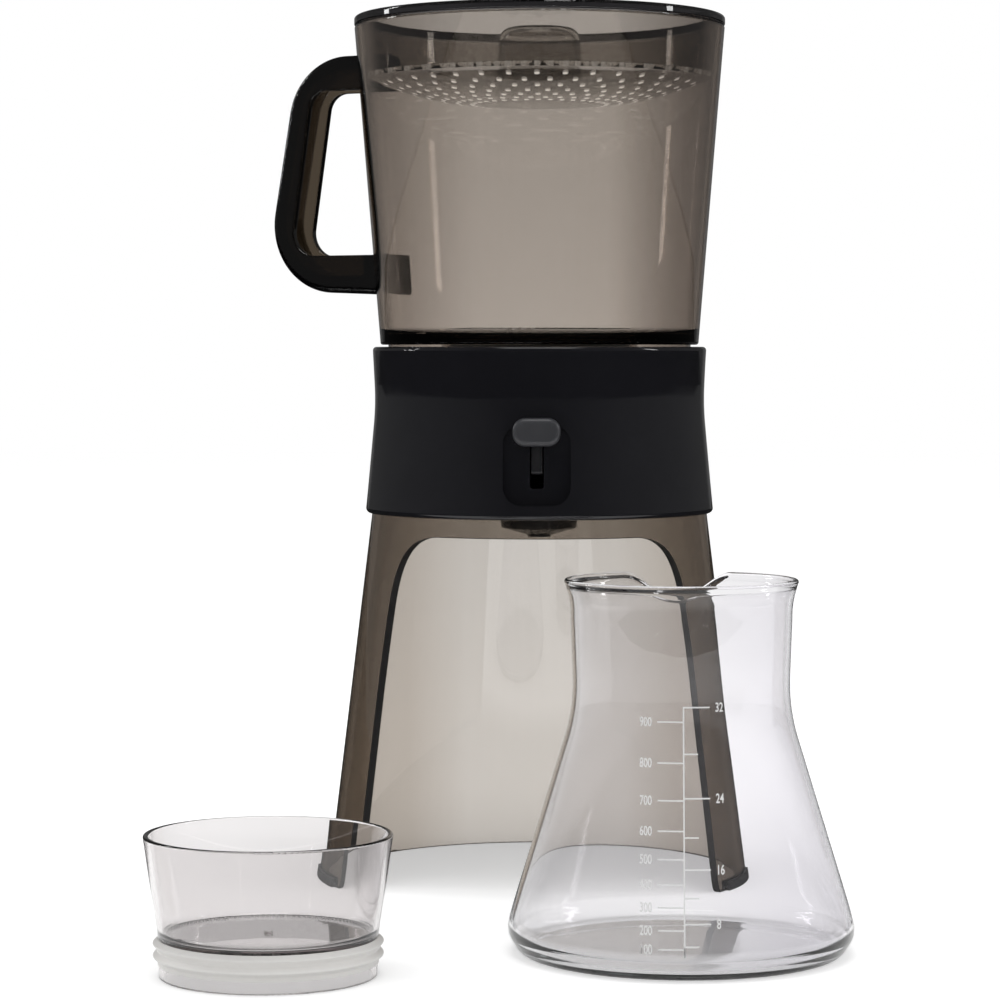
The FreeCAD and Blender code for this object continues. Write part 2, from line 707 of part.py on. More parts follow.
def make_lever_pin():
    """A headed pin through both cheeks and the lever's hub."""
    half = bracket_half_width()
    pin = cross_rod(PIN_RADIUS, half + PIN_PROUD, -PIVOT_OFFSET, PIVOT_HEIGHT)
    head = Part.makeCylinder(
        PIN_RADIUS + PIN_HEAD, PIN_HEAD, Vector(half, -PIVOT_OFFSET, PIVOT_HEIGHT), Vector(1, 0, 0))
    return pin.fuse(head).removeSplitter()


def thumb_centre():
    height = STAND_HEIGHT + SLOT_BOTTOM + THUMB_HEIGHT_ABOVE_SLOT
    return Vector(0, collar_front(height) - THUMB_PROUD + THUMB_THICKNESS / 2, height)


def make_switch_lever():
    """Outer arm up to the thumb pad with a blade that closes the slot, hub on the pin, and inner
    arm down under the valve stem."""
    hub_y = -PIVOT_OFFSET
    thumb = thumb_centre()
    half = ARM_HEIGHT / 2
    outer_arm = side_plate([
        (hub_y, PIVOT_HEIGHT - HUB_RADIUS + 1.0), (hub_y, PIVOT_HEIGHT + HUB_RADIUS - 1.0),
        (thumb.y + ARM_NECK, thumb.z + half - ARM_TAPER, ARM_BEND), (thumb.y, thumb.z + half - ARM_TAPER),
        (thumb.y, thumb.z - half + 0.8), (thumb.y + ARM_NECK, thumb.z - half, ARM_BEND),
    ], ARM_WIDTH)
    inner_arm = side_plate([
        (hub_y, PIVOT_HEIGHT - HUB_RADIUS + 0.6), (0, TIP_HEIGHT - TIP_RADIUS + 0.4),
        (0, TIP_HEIGHT + TIP_RADIUS - 1.0), (hub_y, PIVOT_HEIGHT + HUB_RADIUS - 1.0),
    ], ARM_WIDTH)
    blade_front = recess_floor() + COLLAR_WALL + 2 * RADIAL_GAP
    blade = side_plate([
        (hub_y, PIVOT_HEIGHT - BLADE_DROP), (hub_y, PIVOT_HEIGHT + BLADE_DROP),
        (blade_front, thumb.z - half + 1.0), (blade_front, PIVOT_HEIGHT + 0.5, BLADE_CORNER),
    ], ARM_WIDTH)
    hub = cross_rod(HUB_RADIUS, HUB_WIDTH / 2, hub_y, PIVOT_HEIGHT)
    tip = cross_rod(TIP_RADIUS, ARM_WIDTH / 2, 0, TIP_HEIGHT)
    head_x = THUMB_WIDTH / 2 - HEAD_SIDE_MARGIN
    head_z = THUMB_HEIGHT / 2 - HEAD_END_MARGIN
    head = box(
        Vector(-head_x, thumb.y - HEAD_HALF_DEPTH, thumb.z - head_z),
        Vector(head_x, thumb.y + HEAD_HALF_DEPTH, thumb.z + head_z))
    lever = fused([outer_arm, blade, inner_arm, hub, tip, head])
    bore = cross_rod(PIN_RADIUS + RUNNING_CLEARANCE, HUB_WIDTH, hub_y, PIVOT_HEIGHT)
    return lever.cut(bore)


def make_switch_pad(lever):
    """A soft lozenge moulded over the lever's head."""
    centre = thumb_centre()
    half_width = THUMB_WIDTH / 2
    half_height = THUMB_HEIGHT / 2
    corner = half_height - THUMB_END_FLAT
    pad = cut_out([
        (-half_width, centre.z - half_height, corner), (half_width, centre.z - half_height, corner),
        (half_width, centre.z + half_height, corner), (-half_width, centre.z + half_height, corner),
    ], centre.y - THUMB_THICKNESS / 2, centre.y + THUMB_THICKNESS / 2)
    front = [e for e in pad.Edges if e.BoundBox.YMax < centre.y]
    pad = pad.makeFillet(THUMB_EDGE, front)
    return pad.cut(lever)


# ---- Container --------------------------------------------------------------------------

def container_radius(z):
    share = (z - CONTAINER_BOTTOM) / CONTAINER_HEIGHT
    return CONTAINER_FOOT_RADIUS + (CONTAINER_RIM_RADIUS - CONTAINER_FOOT_RADIUS) * share


def make_container():
    sump_outer = SUMP_RADIUS + SUMP_WALL
    seat_outer = SEAT_RADIUS + SUMP_WALL
    nest_inner = nest_radius() - NEST_WALL
    ledge_under = DECK_TOP + RADIAL_GAP
    return turned([
        (CONTAINER_FOOT_RADIUS, CONTAINER_BOTTOM, 1.2),
        (CONTAINER_RIM_RADIUS, CONTAINER_RIM, 0.8),
        (CONTAINER_RIM_RADIUS - CONTAINER_WALL, CONTAINER_RIM, 0.8),
        (container_radius(FLOOR_TOP) - CONTAINER_WALL, FLOOR_TOP, 4.0),
        (SEAT_RADIUS, FLOOR_TOP, 0.4), (SEAT_RADIUS, FILTER_SEAT), (SUMP_RADIUS, FILTER_SEAT, 0.4),
        (SUMP_RADIUS, SUMP_FLOOR, 3.0), (TUBE_RADIUS + TUBE_CLEARANCE, SUMP_FLOOR),
        (TUBE_RADIUS + TUBE_CLEARANCE, SUMP_BOTTOM), (sump_outer, SUMP_BOTTOM, 3.0),
        (sump_outer, ledge_under), (seat_outer, ledge_under), (seat_outer, CONTAINER_BOTTOM),
        (nest_inner, CONTAINER_BOTTOM), (nest_inner, DECK_TOP, 0.6), (nest_radius(), DECK_TOP, 0.6),
        (nest_radius(), CONTAINER_BOTTOM),
    ])


def make_handle():
    """A bent channel: a thick outer spine and two flanges, open towards the fingers."""
    top = CONTAINER_RIM - HANDLE_TOP_BELOW_RIM
    bottom = CONTAINER_BOTTOM + HANDLE_ABOVE_FLOOR
    grip_top = top - HANDLE_BAR_TOP
    grip_bottom = bottom + HANDLE_BAR_BOTTOM
    foot = container_radius(bottom)
    head = container_radius(top)
    inside = foot - 2 * CONTAINER_WALL
    outer = [
        (inside, top), (head + HANDLE_REACH_TOP, top, HANDLE_TOP_BEND),
        (foot + HANDLE_REACH_BOTTOM, bottom, HANDLE_BOTTOM_BEND), (inside, bottom - HANDLE_ROOT_DROP),
    ]
    grip = [
        (inside - 1, grip_top), (head + HANDLE_GRIP_TOP, grip_top, HANDLE_GRIP_TOP_BEND),
        (foot + HANDLE_GRIP_BOTTOM, grip_bottom, HANDLE_GRIP_BOTTOM_BEND), (inside - 1, grip_bottom),
    ]
    spine = HANDLE_SPINE
    channel = [
        (head + CHANNEL_START, top - spine),
        (head + HANDLE_REACH_TOP - spine * SPINE_TOP_SHARE, top - spine, HANDLE_TOP_BEND - spine),
        (foot + HANDLE_REACH_BOTTOM - spine * SPINE_BOTTOM_SHARE, bottom + spine,
         HANDLE_BOTTOM_BEND - spine),
        (head + CHANNEL_START, bottom + spine),
    ]
    half = HANDLE_WIDTH / 2
    bar = cut_out(outer, -half, half)
    rims = [e for e in bar.Edges
            if e.BoundBox.YLength < 0.01 and e.BoundBox.XMax > head + 5]
    bar = bar.makeFillet(HANDLE_EDGE, rims)
    bar = bar.cut(cut_out(grip, -half - 1, half + 1))
    bar = bar.cut(cut_out(channel, -half + HANDLE_FLANGE, half - HANDLE_FLANGE))
    bar = bar.cut(jar_block(HANDLE_STAND_OFF))
    feet = [
        handle_foot(inside, head + CHANNEL_START, grip_top, top),
        handle_foot(inside, foot + CHANNEL_START, bottom - HANDLE_ROOT_DROP / 2, grip_bottom),
    ]
    return turned_to(fused([bar] + feet).cut(jar_block(0)), HANDLE_ANGLE)


def jar_block(spread):
    """The container's outer form as a solid, widened by spread."""
    return turned([
        (0, CONTAINER_BOTTOM), (CONTAINER_FOOT_RADIUS + spread, CONTAINER_BOTTOM),
        (CONTAINER_RIM_RADIUS + spread, CONTAINER_RIM), (0, CONTAINER_RIM),
    ])


def handle_foot(start, end, low, high):
    """A rounded pad that joins an end of the handle to the container's side."""
    face = Part.Face(rounded_wire(rounded_rectangle(
        HANDLE_FOOT_WIDTH, low, high - low, HANDLE_FOOT_CORNER)))
    face.rotate(Vector(0, 0, 0), Vector(0, 0, 1), 90)
    face.translate(Vector(start, 0, 0))
    return face.extrude(Vector(end - start, 0, 0))


# ---- Valve ------------------------------------------------------------------------------

def make_valve_housing():
    """Flange, tube and a three-legged spider that guides the stem."""
    tube = turned([
        (TUBE_BORE, VALVE_SEAT, 0.4), (FLANGE_RADIUS, VALVE_SEAT, 0.6), (FLANGE_RADIUS, FLANGE_BASE),
        (TUBE_RADIUS, FLANGE_BASE), (TUBE_RADIUS, TUBE_END, 0.6), (TUBE_BORE, TUBE_END),
    ])
    low = TUBE_END + SPIDER_THICKNESS
    high = low + SPIDER_THICKNESS
    hub = rod(STEM_RADIUS + SPIDER_WALL, low, high)
    leg = box(Vector(0, -SPIDER_WALL / 2, low), Vector(TUBE_BORE + 0.5, SPIDER_WALL / 2, high))
    housing = fused([tube, hub] + around(leg, 3, 90))
    return housing.cut(rod(STEM_RADIUS + RUNNING_CLEARANCE, low - 1, high + 1))


def washer(inner, outer, bottom, top):
    return turned([(inner, bottom), (outer, bottom, 0.2), (outer, top, 0.2), (inner, top)])


def make_housing_gasket():
    return washer(TUBE_RADIUS, FLANGE_RADIUS - SEAL_INSET, SUMP_FLOOR, FLANGE_BASE)


def make_valve_nut():
    corner = NUT_ACROSS_FLATS / math.sqrt(3)
    points = [
        Vector(corner * math.cos(math.radians(60 * i)), corner * math.sin(math.radians(60 * i)),
               SUMP_BOTTOM - NUT_THICKNESS)
        for i in range(7)]
    nut = Part.Face(Part.makePolygon(points)).extrude(Vector(0, 0, NUT_THICKNESS))
    bevel = turned([
        (0, SUMP_BOTTOM - NUT_THICKNESS), (corner - 1.6 * NUT_BEVEL, SUMP_BOTTOM - NUT_THICKNESS),
        (corner, SUMP_BOTTOM - NUT_THICKNESS + NUT_BEVEL), (corner, SUMP_BOTTOM), (0, SUMP_BOTTOM),
    ])
    return nut.common(bevel).cut(rod(TUBE_RADIUS, 0, SUMP_BOTTOM + 1))


def make_valve_plunger():
    """Stem and head, with a groove for the clip."""
    groove = STEM_RADIUS - STEM_GROOVE
    top = HEAD_BASE + HEAD_THICKNESS
    return turned([
        (0, STEM_END), (STEM_RADIUS, STEM_END, 0.5), (STEM_RADIUS, CLIP_BASE), (groove, CLIP_BASE),
        (groove, CLIP_BASE + CLIP_THICKNESS), (STEM_RADIUS, CLIP_BASE + CLIP_THICKNESS),
        (STEM_RADIUS, HEAD_BASE), (HEAD_RADIUS, HEAD_BASE), (HEAD_RADIUS, top, 1.0), (0, top),
    ])


def make_valve_seal():
    return washer(STEM_RADIUS, HEAD_RADIUS - SEAL_INSET, VALVE_SEAT, HEAD_BASE)


def make_valve_clip():
    """A retaining ring, open on one side so that it snaps into the groove."""
    clip = washer(STEM_RADIUS - STEM_GROOVE, CLIP_RADIUS, CLIP_BASE, CLIP_BASE + CLIP_THICKNESS)
    mouth_half = STEM_RADIUS * 0.6
    opening = box(
        Vector(0, -mouth_half, CLIP_BASE - 1),
        Vector(CLIP_RADIUS + 1, mouth_half, CLIP_BASE + CLIP_THICKNESS + 1))
    return clip.cut(opening)


def make_valve_spring():
    """A compression spring between the spider and the clip."""
    low = CLIP_BASE + CLIP_THICKNESS + SPRING_WIRE / 2 + SPRING_END_GAP
    high = TUBE_END + SPIDER_THICKNESS - SPRING_WIRE / 2 - SPRING_END_GAP
    radius = STEM_RADIUS + SPRING_CLEARANCE + SPRING_WIRE / 2
    path = Part.makeHelix((high - low) / SPRING_TURNS, high - low, radius)
    section = Part.Wire(Part.makeCircle(SPRING_WIRE / 2, Vector(radius, 0, 0), Vector(0, 1, 0)))
    spring = Part.Wire(path).makePipeShell([section], True, True)
    spring.translate(Vector(0, 0, low))
    return spring


# ---- Filter -----------------------------------------------------------------------------

def filter_sizes():
    outer = SEAT_RADIUS - RADIAL_GAP
    ring = outer - FILTER_GASKET_WIDTH
    return outer, ring, ring - FILTER_RING_WIDTH


def make_filter_frame():
    """Ring with a groove for the mesh outside spokes and hub under it."""
    outer, ring, bore = filter_sizes()
    top = FILTER_SEAT + FILTER_HEIGHT
    mesh = FILTER_SEAT + MESH_LIFT
    groove = ring - FRAME_LIP
    slot = bore + MESH_SLOT
    frame = turned([
        (bore, FILTER_SEAT), (ring, FILTER_SEAT), (ring, FILTER_SEAT + FRAME_LIP),
        (groove, FILTER_SEAT + FRAME_LIP), (groove, top - FRAME_LIP), (ring, top - FRAME_LIP),
        (ring, top, 0.4), (bore, top, 0.4), (bore, mesh + MESH_THICKNESS + MESH_PLAY),
        (slot, mesh + MESH_THICKNESS + MESH_PLAY), (slot, mesh), (bore, mesh),
    ])
    spoke = box(Vector(0, -SPOKE_WIDTH / 2, FILTER_SEAT), Vector(bore + 0.5, SPOKE_WIDTH / 2, mesh))
    hub = rod(FILTER_HUB_RADIUS, FILTER_SEAT, mesh)
    return fused([frame, hub] + around(spoke, SPOKE_COUNT))


def make_filter_mesh():
    bore = filter_sizes()[2]
    base = FILTER_SEAT + MESH_LIFT
    return rod(bore + MESH_SLOT - MESH_PLAY, base, base + MESH_THICKNESS)


def make_filter_gasket():
    """Silicone edge ring that fills the frame's groove, with a flat pull tab on top."""
    outer, ring, bore = filter_sizes()
    top = FILTER_SEAT + FILTER_HEIGHT
    groove = ring - FRAME_LIP
    foot = FILTER_SEAT + GASKET_LIFT
    gasket = turned([
        (groove, FILTER_SEAT + FRAME_LIP), (ring, FILTER_SEAT + FRAME_LIP), (ring, foot),
        (outer, foot, 0.5), (outer, top, 0.5), (ring, top),
        (ring, top - FRAME_LIP), (groove, top - FRAME_LIP),
    ])
    tab_place = outer - TAB_WIDTH / 2
    tab = rod(TAB_WIDTH / 2, top, top + TAB_THICKNESS, tab_place)
    tab = tab.cut(rod(TAB_WIDTH / 2 - TAB_BAND, top - 1, top + TAB_THICKNESS + 1, tab_place))
    tab = tab.common(rod(outer, top - 1, top + TAB_THICKNESS + 1))
    return gasket.fuse(tab).removeSplitter()


# ---- Lid --------------------------------------------------------------------------------

def lid_wall_radius(z):
    return container_radius(z) - CONTAINER_WALL - LID_CLEARANCE


def make_lid_ring():
    """Flange on the container's rim and the tray's side wall."""
    wall_end = TRAY_BOTTOM + PLATE_WALL
    inner_top = lid_wall_radius(LID_TOP) - LID_WALL
    shadow = CONTAINER_RIM + LID_SHADOW_GAP
    relief = LID_FLANGE_RADIUS - LID_SHADOW_WIDTH
    return turned([
        (lid_wall_radius(wall_end), wall_end), (lid_wall_radius(CONTAINER_RIM), CONTAINER_RIM),
        (relief, CONTAINER_RIM), (relief, shadow), (LID_FLANGE_RADIUS, shadow, 0.5),
        (LID_FLANGE_RADIUS, LID_TOP, 1.2), (inner_top, LID_TOP, 1.2),
        (lid_wall_radius(wall_end) - LID_WALL, wall_end),
    ])


def dish_arc(rise):
    """Radius of the dish's curve: level at the flat middle, steepest at its edge."""
    run = lid_wall_radius(TRAY_BOTTOM) - LID_WALL - DISH_FLAT_RADIUS
    return run, (run * run + rise * rise) / (2 * rise)


def make_rain_plate():
    """A dished plate whose holes stand in staggered rings round the knob's seat."""
    run, radius = dish_arc(DISH_DEPTH)
    edge = DISH_FLAT_RADIUS + run
    rim = lid_wall_radius(TRAY_BOTTOM)
    bottom = TRAY_BOTTOM - DISH_DEPTH
    half_run = run / 2
    half_rise = radius - math.sqrt(radius * radius - half_run * half_run)

    def curve(lift):
        start = Vector(DISH_FLAT_RADIUS, 0, bottom + lift)
        middle = Vector(DISH_FLAT_RADIUS + half_run, 0, bottom + lift + half_rise)
        end = Vector(edge, 0, TRAY_BOTTOM + lift)
        return Part.Arc(start, middle, end).toShape(), start, end

    under, under_start, under_end = curve(0)
    over, over_start, over_end = curve(PLATE_WALL)
    corner_low = Vector(rim, 0, TRAY_BOTTOM)
    corner_high = Vector(rim, 0, TRAY_BOTTOM + PLATE_WALL)
    axis_low = Vector(0, 0, bottom)
    axis_high = Vector(0, 0, bottom + PLATE_WALL)
    edges = [Part.LineSegment(axis_low, under_start).toShape(), under]
    edges += [Part.LineSegment(a, b).toShape() for a, b in (
        (under_end, corner_low), (corner_low, corner_high), (corner_high, over_end))]
    edges += [over, Part.LineSegment(over_start, axis_high).toShape()]
    edges += [Part.LineSegment(axis_high, axis_low).toShape()]
    plate = Part.Face(Part.Wire(edges)).revolve(Vector(0, 0, 0), Vector(0, 0, 1), 360)
    return plate.cut(Part.makeCompound(rain_hole_tools(bottom)))


def rain_hole_tools(bottom):
    """Six-sided punches, one for each hole; every second ring is turned by half a pitch."""
    height = DISH_DEPTH + 2 * PLATE_WALL + 2
    pitch = 360 / HOLES_PER_RING
    last = lid_wall_radius(TRAY_BOTTOM) - LID_WALL - HOLE_EDGE_MARGIN
    tools = []
    for ring in range(HOLE_RINGS):
        radius = HOLE_RING_FIRST + (last - HOLE_RING_FIRST) * ring / (HOLE_RINGS - 1)
        centre = Vector(radius, 0, bottom - 1)
        points = [
            centre + Vector(HOLE_RADIUS * math.cos(math.radians(60 * i)),
                            HOLE_RADIUS * math.sin(math.radians(60 * i)), 0)
            for i in range(7)]
        punch = Part.Face(Part.makePolygon(points)).extrude(Vector(0, 0, height))
        tools += around(punch, HOLES_PER_RING, pitch / 2 * (ring % 2))
    return tools


def make_lid_knob():
    """A hollow cap with a domed top, open underneath, seated on the plate's flat middle."""
    seat = TRAY_BOTTOM - DISH_DEPTH + PLATE_WALL
    top = LID_TOP - KNOB_BELOW_LID_TOP
    shoulder = top - KNOB_CROWN
    return turned([
        (0, top), (KNOB_TOP_RADIUS, shoulder, KNOB_CORNER), (KNOB_RADIUS, seat),
        (KNOB_RADIUS - KNOB_WALL, seat),
        (KNOB_TOP_RADIUS - KNOB_WALL, shoulder - KNOB_WALL, KNOB_CORNER - KNOB_WALL),
        (0, top - KNOB_WALL),
    ])


# ---- Carafe and stopper -----------------------------------------------------------------

def carafe_side(inset):
    """The flask's conical side, from its widest point to the neck, moved inwards by inset."""
    return [
        (CARAFE_BASE_RADIUS - inset, CARAFE_WIDEST_HEIGHT, CARAFE_BASE_BEND),
        (CARAFE_NECK_RADIUS - inset, CARAFE_NECK_HEIGHT, CARAFE_NECK_BEND),
    ]


def mouth_radius(z):
    """The flask's outer radius in the straight neck and the flare above it."""
    flare = CARAFE_HEIGHT - CARAFE_RIM_FLARE
    if z > flare:
        share = (z - flare) / CARAFE_RIM_FLARE
        return CARAFE_NECK_RADIUS + CARAFE_NECK_OPENING + CARAFE_RIM_OPENING * share
    share = (z - CARAFE_NECK_HEIGHT) / (flare - CARAFE_NECK_HEIGHT)
    return CARAFE_NECK_RADIUS + CARAFE_NECK_OPENING * share


def mouth_section(z, inset):
    """The mouth's closed outline at a height, drawn out towards +Y into the pouring lip and placed
    from the rim's level down."""
    count = 60
    climb = max(0, z - CARAFE_HEIGHT + LIP_LENGTH) / LIP_LENGTH
    points = []
    for i in range(count):
        turn = 360 * i / count
        off_lip = (turn + 90) % 360 - 180
        pull = LIP_REACH * climb ** 1.5 * math.exp(-(off_lip / LIP_SPREAD) ** 2)
        radius = mouth_radius(z) - inset + pull
        angle = math.radians(turn)
        points.append(Vector(radius * math.cos(angle), radius * math.sin(angle), z - CARAFE_HEIGHT))
    curve = Part.BSplineCurve()
    curve.interpolate(points, PeriodicFlag=True)
    return Part.Wire(curve.toShape())


def mouth(inset, top):
    """The flask's upper stretch with its lip, as a solid with the rim at z = 0."""
    base = CARAFE_HEIGHT - LIP_LENGTH
    rise = CARAFE_RIM_FLARE / 2
    steps = round((top - base) / rise)
    levels = [base + (top - base) * i / steps for i in range(steps + 1)]
    return Part.makeLoft([mouth_section(z, inset) for z in levels], True, False)


def lip_notch():
    """The dip in the rim: a block over the lip with a round throat and soft shoulders."""
    side = LIP_MOUTH / 2
    wide = side + LIP_SHOULDER
    half_floor = LIP_FLOOR / 2
    return cut_out([
        (-wide, 0), (-side, 0, LIP_SHOULDER), (-half_floor, -LIP_DROP, LIP_THROAT),
        (half_floor, -LIP_DROP, LIP_THROAT), (side, 0, LIP_SHOULDER), (wide, 0),
        (wide, LIP_DROP), (-wide, LIP_DROP),
    ], 0, CARAFE_BASE_RADIUS)


def make_carafe():
    """A blown flask: conical body, flared neck, pushed-up base and a lip drawn out at the back."""
    base = CARAFE_HEIGHT - LIP_LENGTH
    above = CARAFE_HEIGHT + CARAFE_RIM_FLARE / 2
    outside = [(mouth_radius(base), base), (0, base)]
    inside = [(mouth_radius(base) - GLASS_WALL, base), (0, base)]
    foot = (CARAFE_FOOT_RADIUS, 0, CARAFE_FOOT_CORNER)
    floor = (CARAFE_FOOT_RADIUS - GLASS_WALL, GLASS_FLOOR, CARAFE_FOOT_CORNER - 1)
    body = turned([(0, 0), foot] + carafe_side(0) + outside)
    body = body.cut(turned([(0, GLASS_FLOOR + GLASS_PUSH_UP), floor] + carafe_side(GLASS_WALL) + inside))
    ring = CARAFE_FOOT_RADIUS - CARAFE_FOOT_RING
    body = body.cut(turned([(0, -1), (ring, -1), (ring, 0), (0, GLASS_PUSH_UP)]))
    lip = mouth(0, CARAFE_HEIGHT).cut(mouth(GLASS_WALL, above)).cut(lip_notch())
    lip.translate(Vector(0, 0, CARAFE_HEIGHT))
    flask = body.fuse([lip], SEAM_TOLERANCE)
    rims = [e for e in flask.Edges
            if e.BoundBox.ZMin > CARAFE_HEIGHT - LIP_DROP - 0.5 and e.Length > 2 * GLASS_WALL]
    flask = flask.makeFillet(CARAFE_RIM_ROUNDING, rims).Solids[0]
    flask.translate(CARAFE_PLACE)
    return flask


def make_stopper_cup():
    """A flared cup whose lower skirt plugs the carafe's neck."""
    outer = SKIRT_RADIUS
    inner = SKIRT_RADIUS - CUP_WALL
    rim = SKIRT_RADIUS + CUP_FLARE
    groove = SKIRT_RADIUS - GROOVE_DEPTH
    floor_top = CUP_FLOOR_HEIGHT + CUP_FLOOR
    cup = turned([
        (outer, 0, 0.6), (outer, GASKET_BOTTOM), (groove, GASKET_BOTTOM), (groove, GASKET_TOP),
        (outer, GASKET_TOP), (outer + CUP_LEDGE, GASKET_TOP + 1.0), (rim, CUP_HEIGHT, 0.7),
        (rim - CUP_WALL, CUP_HEIGHT, 0.7), (outer + CUP_LEDGE - CUP_WALL, floor_top, 3.0), (0, floor_top),
        (0, CUP_FLOOR_HEIGHT), (inner, CUP_FLOOR_HEIGHT, 2.0), (inner, 0, 0.6),
    ])
    cup = cup.fuse(rod(CUP_NUB_RADIUS, floor_top - 1, floor_top + CUP_NUB_HEIGHT)).removeSplitter()
    cup.translate(CUP_PLACE)
    return cup


def make_stopper_gasket():
    """A silicone band in the skirt's groove, with two fins that press against the neck."""
    inner = SKIRT_RADIUS - GROOVE_DEPTH
    body = SKIRT_RADIUS + GASKET_PROUD
    upper = GASKET_TOP - GASKET_FIN_BELOW_TOP
    lower = upper - GASKET_FIN_PITCH
    middle = (upper + lower) / 2
    gasket = turned([
        (inner, GASKET_BOTTOM), (body, GASKET_BOTTOM), (body, lower - GASKET_FIN_HALF, 0.8),
        (GASKET_RADIUS, lower, 0.6), (body, middle, 1.0), (GASKET_RADIUS, upper, 0.6),
        (body, GASKET_TOP), (inner, GASKET_TOP),
    ])
    gasket.translate(CUP_PLACE)
    return gasket


# ---- Every piece goes to its own STEP file ----------------------------------------------

os.makedirs("parts", exist_ok=True)

stand_shell = make_stand_shell()
save("stand_shell", stand_shell)
save("foot_pads", make_foot_pads(stand_shell))
save("collar", make_collar())
save("collar_deck", make_collar_deck())
save("base_plate", make_base_plate())
save("drip_spout", make_drip_spout())
save("case_screws", make_case_screws())
save("spout_screws", make_spout_screws())
save("lever_bracket", make_lever_bracket())
save("bracket_screws", make_bracket_screws())
save("lever_pin", make_lever_pin())

switch_lever = make_switch_lever()
save("switch_lever", switch_lever)
save("switch_pad", make_switch_pad(switch_lever))

save("container", make_container())
save("handle", make_handle())
save("valve_housing", make_valve_housing())
save("housing_gasket", make_housing_gasket())
save("valve_nut", make_valve_nut())

save("valve_plunger", make_valve_plunger())
save("valve_seal", make_valve_seal())
save("valve_clip", make_valve_clip())
save("valve_spring", make_valve_spring())

save("filter_frame", make_filter_frame())
save("filter_mesh", make_filter_mesh())
save("filter_gasket", make_filter_gasket())

save("lid_ring", make_lid_ring())
save("rain_plate", make_rain_plate())
save("lid_knob", make_lid_knob())

save("carafe", make_carafe())
save("stopper_cup", make_stopper_cup())
save("stopper_gasket", make_stopper_gasket())
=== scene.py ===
import math

import bmesh
import bpy
from mathutils import Matrix, Vector
from mathutils.bvhtree import BVHTree


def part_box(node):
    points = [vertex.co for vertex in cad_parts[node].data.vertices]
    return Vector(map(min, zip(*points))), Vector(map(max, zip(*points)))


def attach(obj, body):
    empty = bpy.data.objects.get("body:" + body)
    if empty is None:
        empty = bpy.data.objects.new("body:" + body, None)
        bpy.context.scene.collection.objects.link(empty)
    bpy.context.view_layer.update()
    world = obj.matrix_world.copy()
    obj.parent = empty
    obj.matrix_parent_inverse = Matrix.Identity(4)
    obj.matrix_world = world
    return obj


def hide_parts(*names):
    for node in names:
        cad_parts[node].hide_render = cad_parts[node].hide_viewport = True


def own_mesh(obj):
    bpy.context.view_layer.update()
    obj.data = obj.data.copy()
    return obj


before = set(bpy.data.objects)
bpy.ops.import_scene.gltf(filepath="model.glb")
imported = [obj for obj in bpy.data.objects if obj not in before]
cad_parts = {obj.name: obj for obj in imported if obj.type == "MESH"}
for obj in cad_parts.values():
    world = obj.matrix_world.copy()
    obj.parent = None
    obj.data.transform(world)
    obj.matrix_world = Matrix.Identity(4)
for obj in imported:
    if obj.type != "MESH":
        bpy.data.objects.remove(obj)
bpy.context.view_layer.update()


# ---- Stand shell ------------------------------------------------------------------------
# One clear styrene moulding tinted smoke brown: a wide leg that wraps the back and both
# sides, with the arch cut out of its front. The arch's cut faces are hazed, and painted nearly
# black as shade for how they look edge on. Painted shade also darkens the shell at its front,
# towards its sides and a little towards its foot.

def add_node(tree, kind, sockets=None, **settings):
    """A node with its settings and sockets filled in; another node's output is linked."""
    node = tree.nodes.new(kind)
    for name, value in settings.items():
        setattr(node, name, value)
    for name, value in (sockets or {}).items():
        if isinstance(value, bpy.types.NodeSocket):
            tree.links.new(value, node.inputs[name])
        else:
            node.inputs[name].default_value = value
    return node


def math_node(tree, operation, *values):
    """The result of one sum on numbers or other nodes' outputs."""
    return add_node(tree, "ShaderNodeMath", dict(enumerate(values)), operation=operation).outputs[0]


def new_group(name, inputs, outputs):
    """An empty shader group with float inputs and their usual values, and named outputs."""
    group = bpy.data.node_groups.new(name, "ShaderNodeTree")
    for label, value in inputs.items():
        socket = group.interface.new_socket(label, in_out="INPUT", socket_type="NodeSocketFloat")
        socket.default_value = value
    for label, kind in outputs.items():
        group.interface.new_socket(label, in_out="OUTPUT", socket_type=kind)
    return group, add_node(group, "NodeGroupInput"), add_node(group, "NodeGroupOutput")


def build_moulded_surface():
    """Slow flow waves of a polished mould, with the faint haze that handling leaves."""
    group, given, result = new_group(
        "moulded_surface",
        {"Wave Length": 0.03, "Haze Size": 0.012, "Smooth": 0.02, "Hazy": 0.08},
        {"Roughness": "NodeSocketFloat", "Height": "NodeSocketFloat", "Tone": "NodeSocketFloat"})
    place = add_node(group, "ShaderNodeTexCoord").outputs["Object"]
    wave_scale = math_node(group, "DIVIDE", 1.0, given.outputs["Wave Length"])
    haze_scale = math_node(group, "DIVIDE", 1.0, given.outputs["Haze Size"])
    wave = add_node(group, "ShaderNodeTexNoise", {"Vector": place, "Scale": wave_scale, "Detail": 1.0})
    haze = add_node(group, "ShaderNodeTexNoise",
                    {"Vector": place, "Scale": haze_scale, "Detail": 5.0, "Roughness": 0.65})
    patch = add_node(group, "ShaderNodeMapRange",
                     {"Value": haze.outputs[0], "From Min": 0.45, "From Max": 0.75,
                      "To Min": given.outputs["Smooth"], "To Max": given.outputs["Hazy"]})
    group.links.new(patch.outputs[0], result.inputs["Roughness"])
    group.links.new(wave.outputs[0], result.inputs["Height"])
    group.links.new(haze.outputs[0], result.inputs["Tone"])
    return group


moulded_surface = build_moulded_surface()


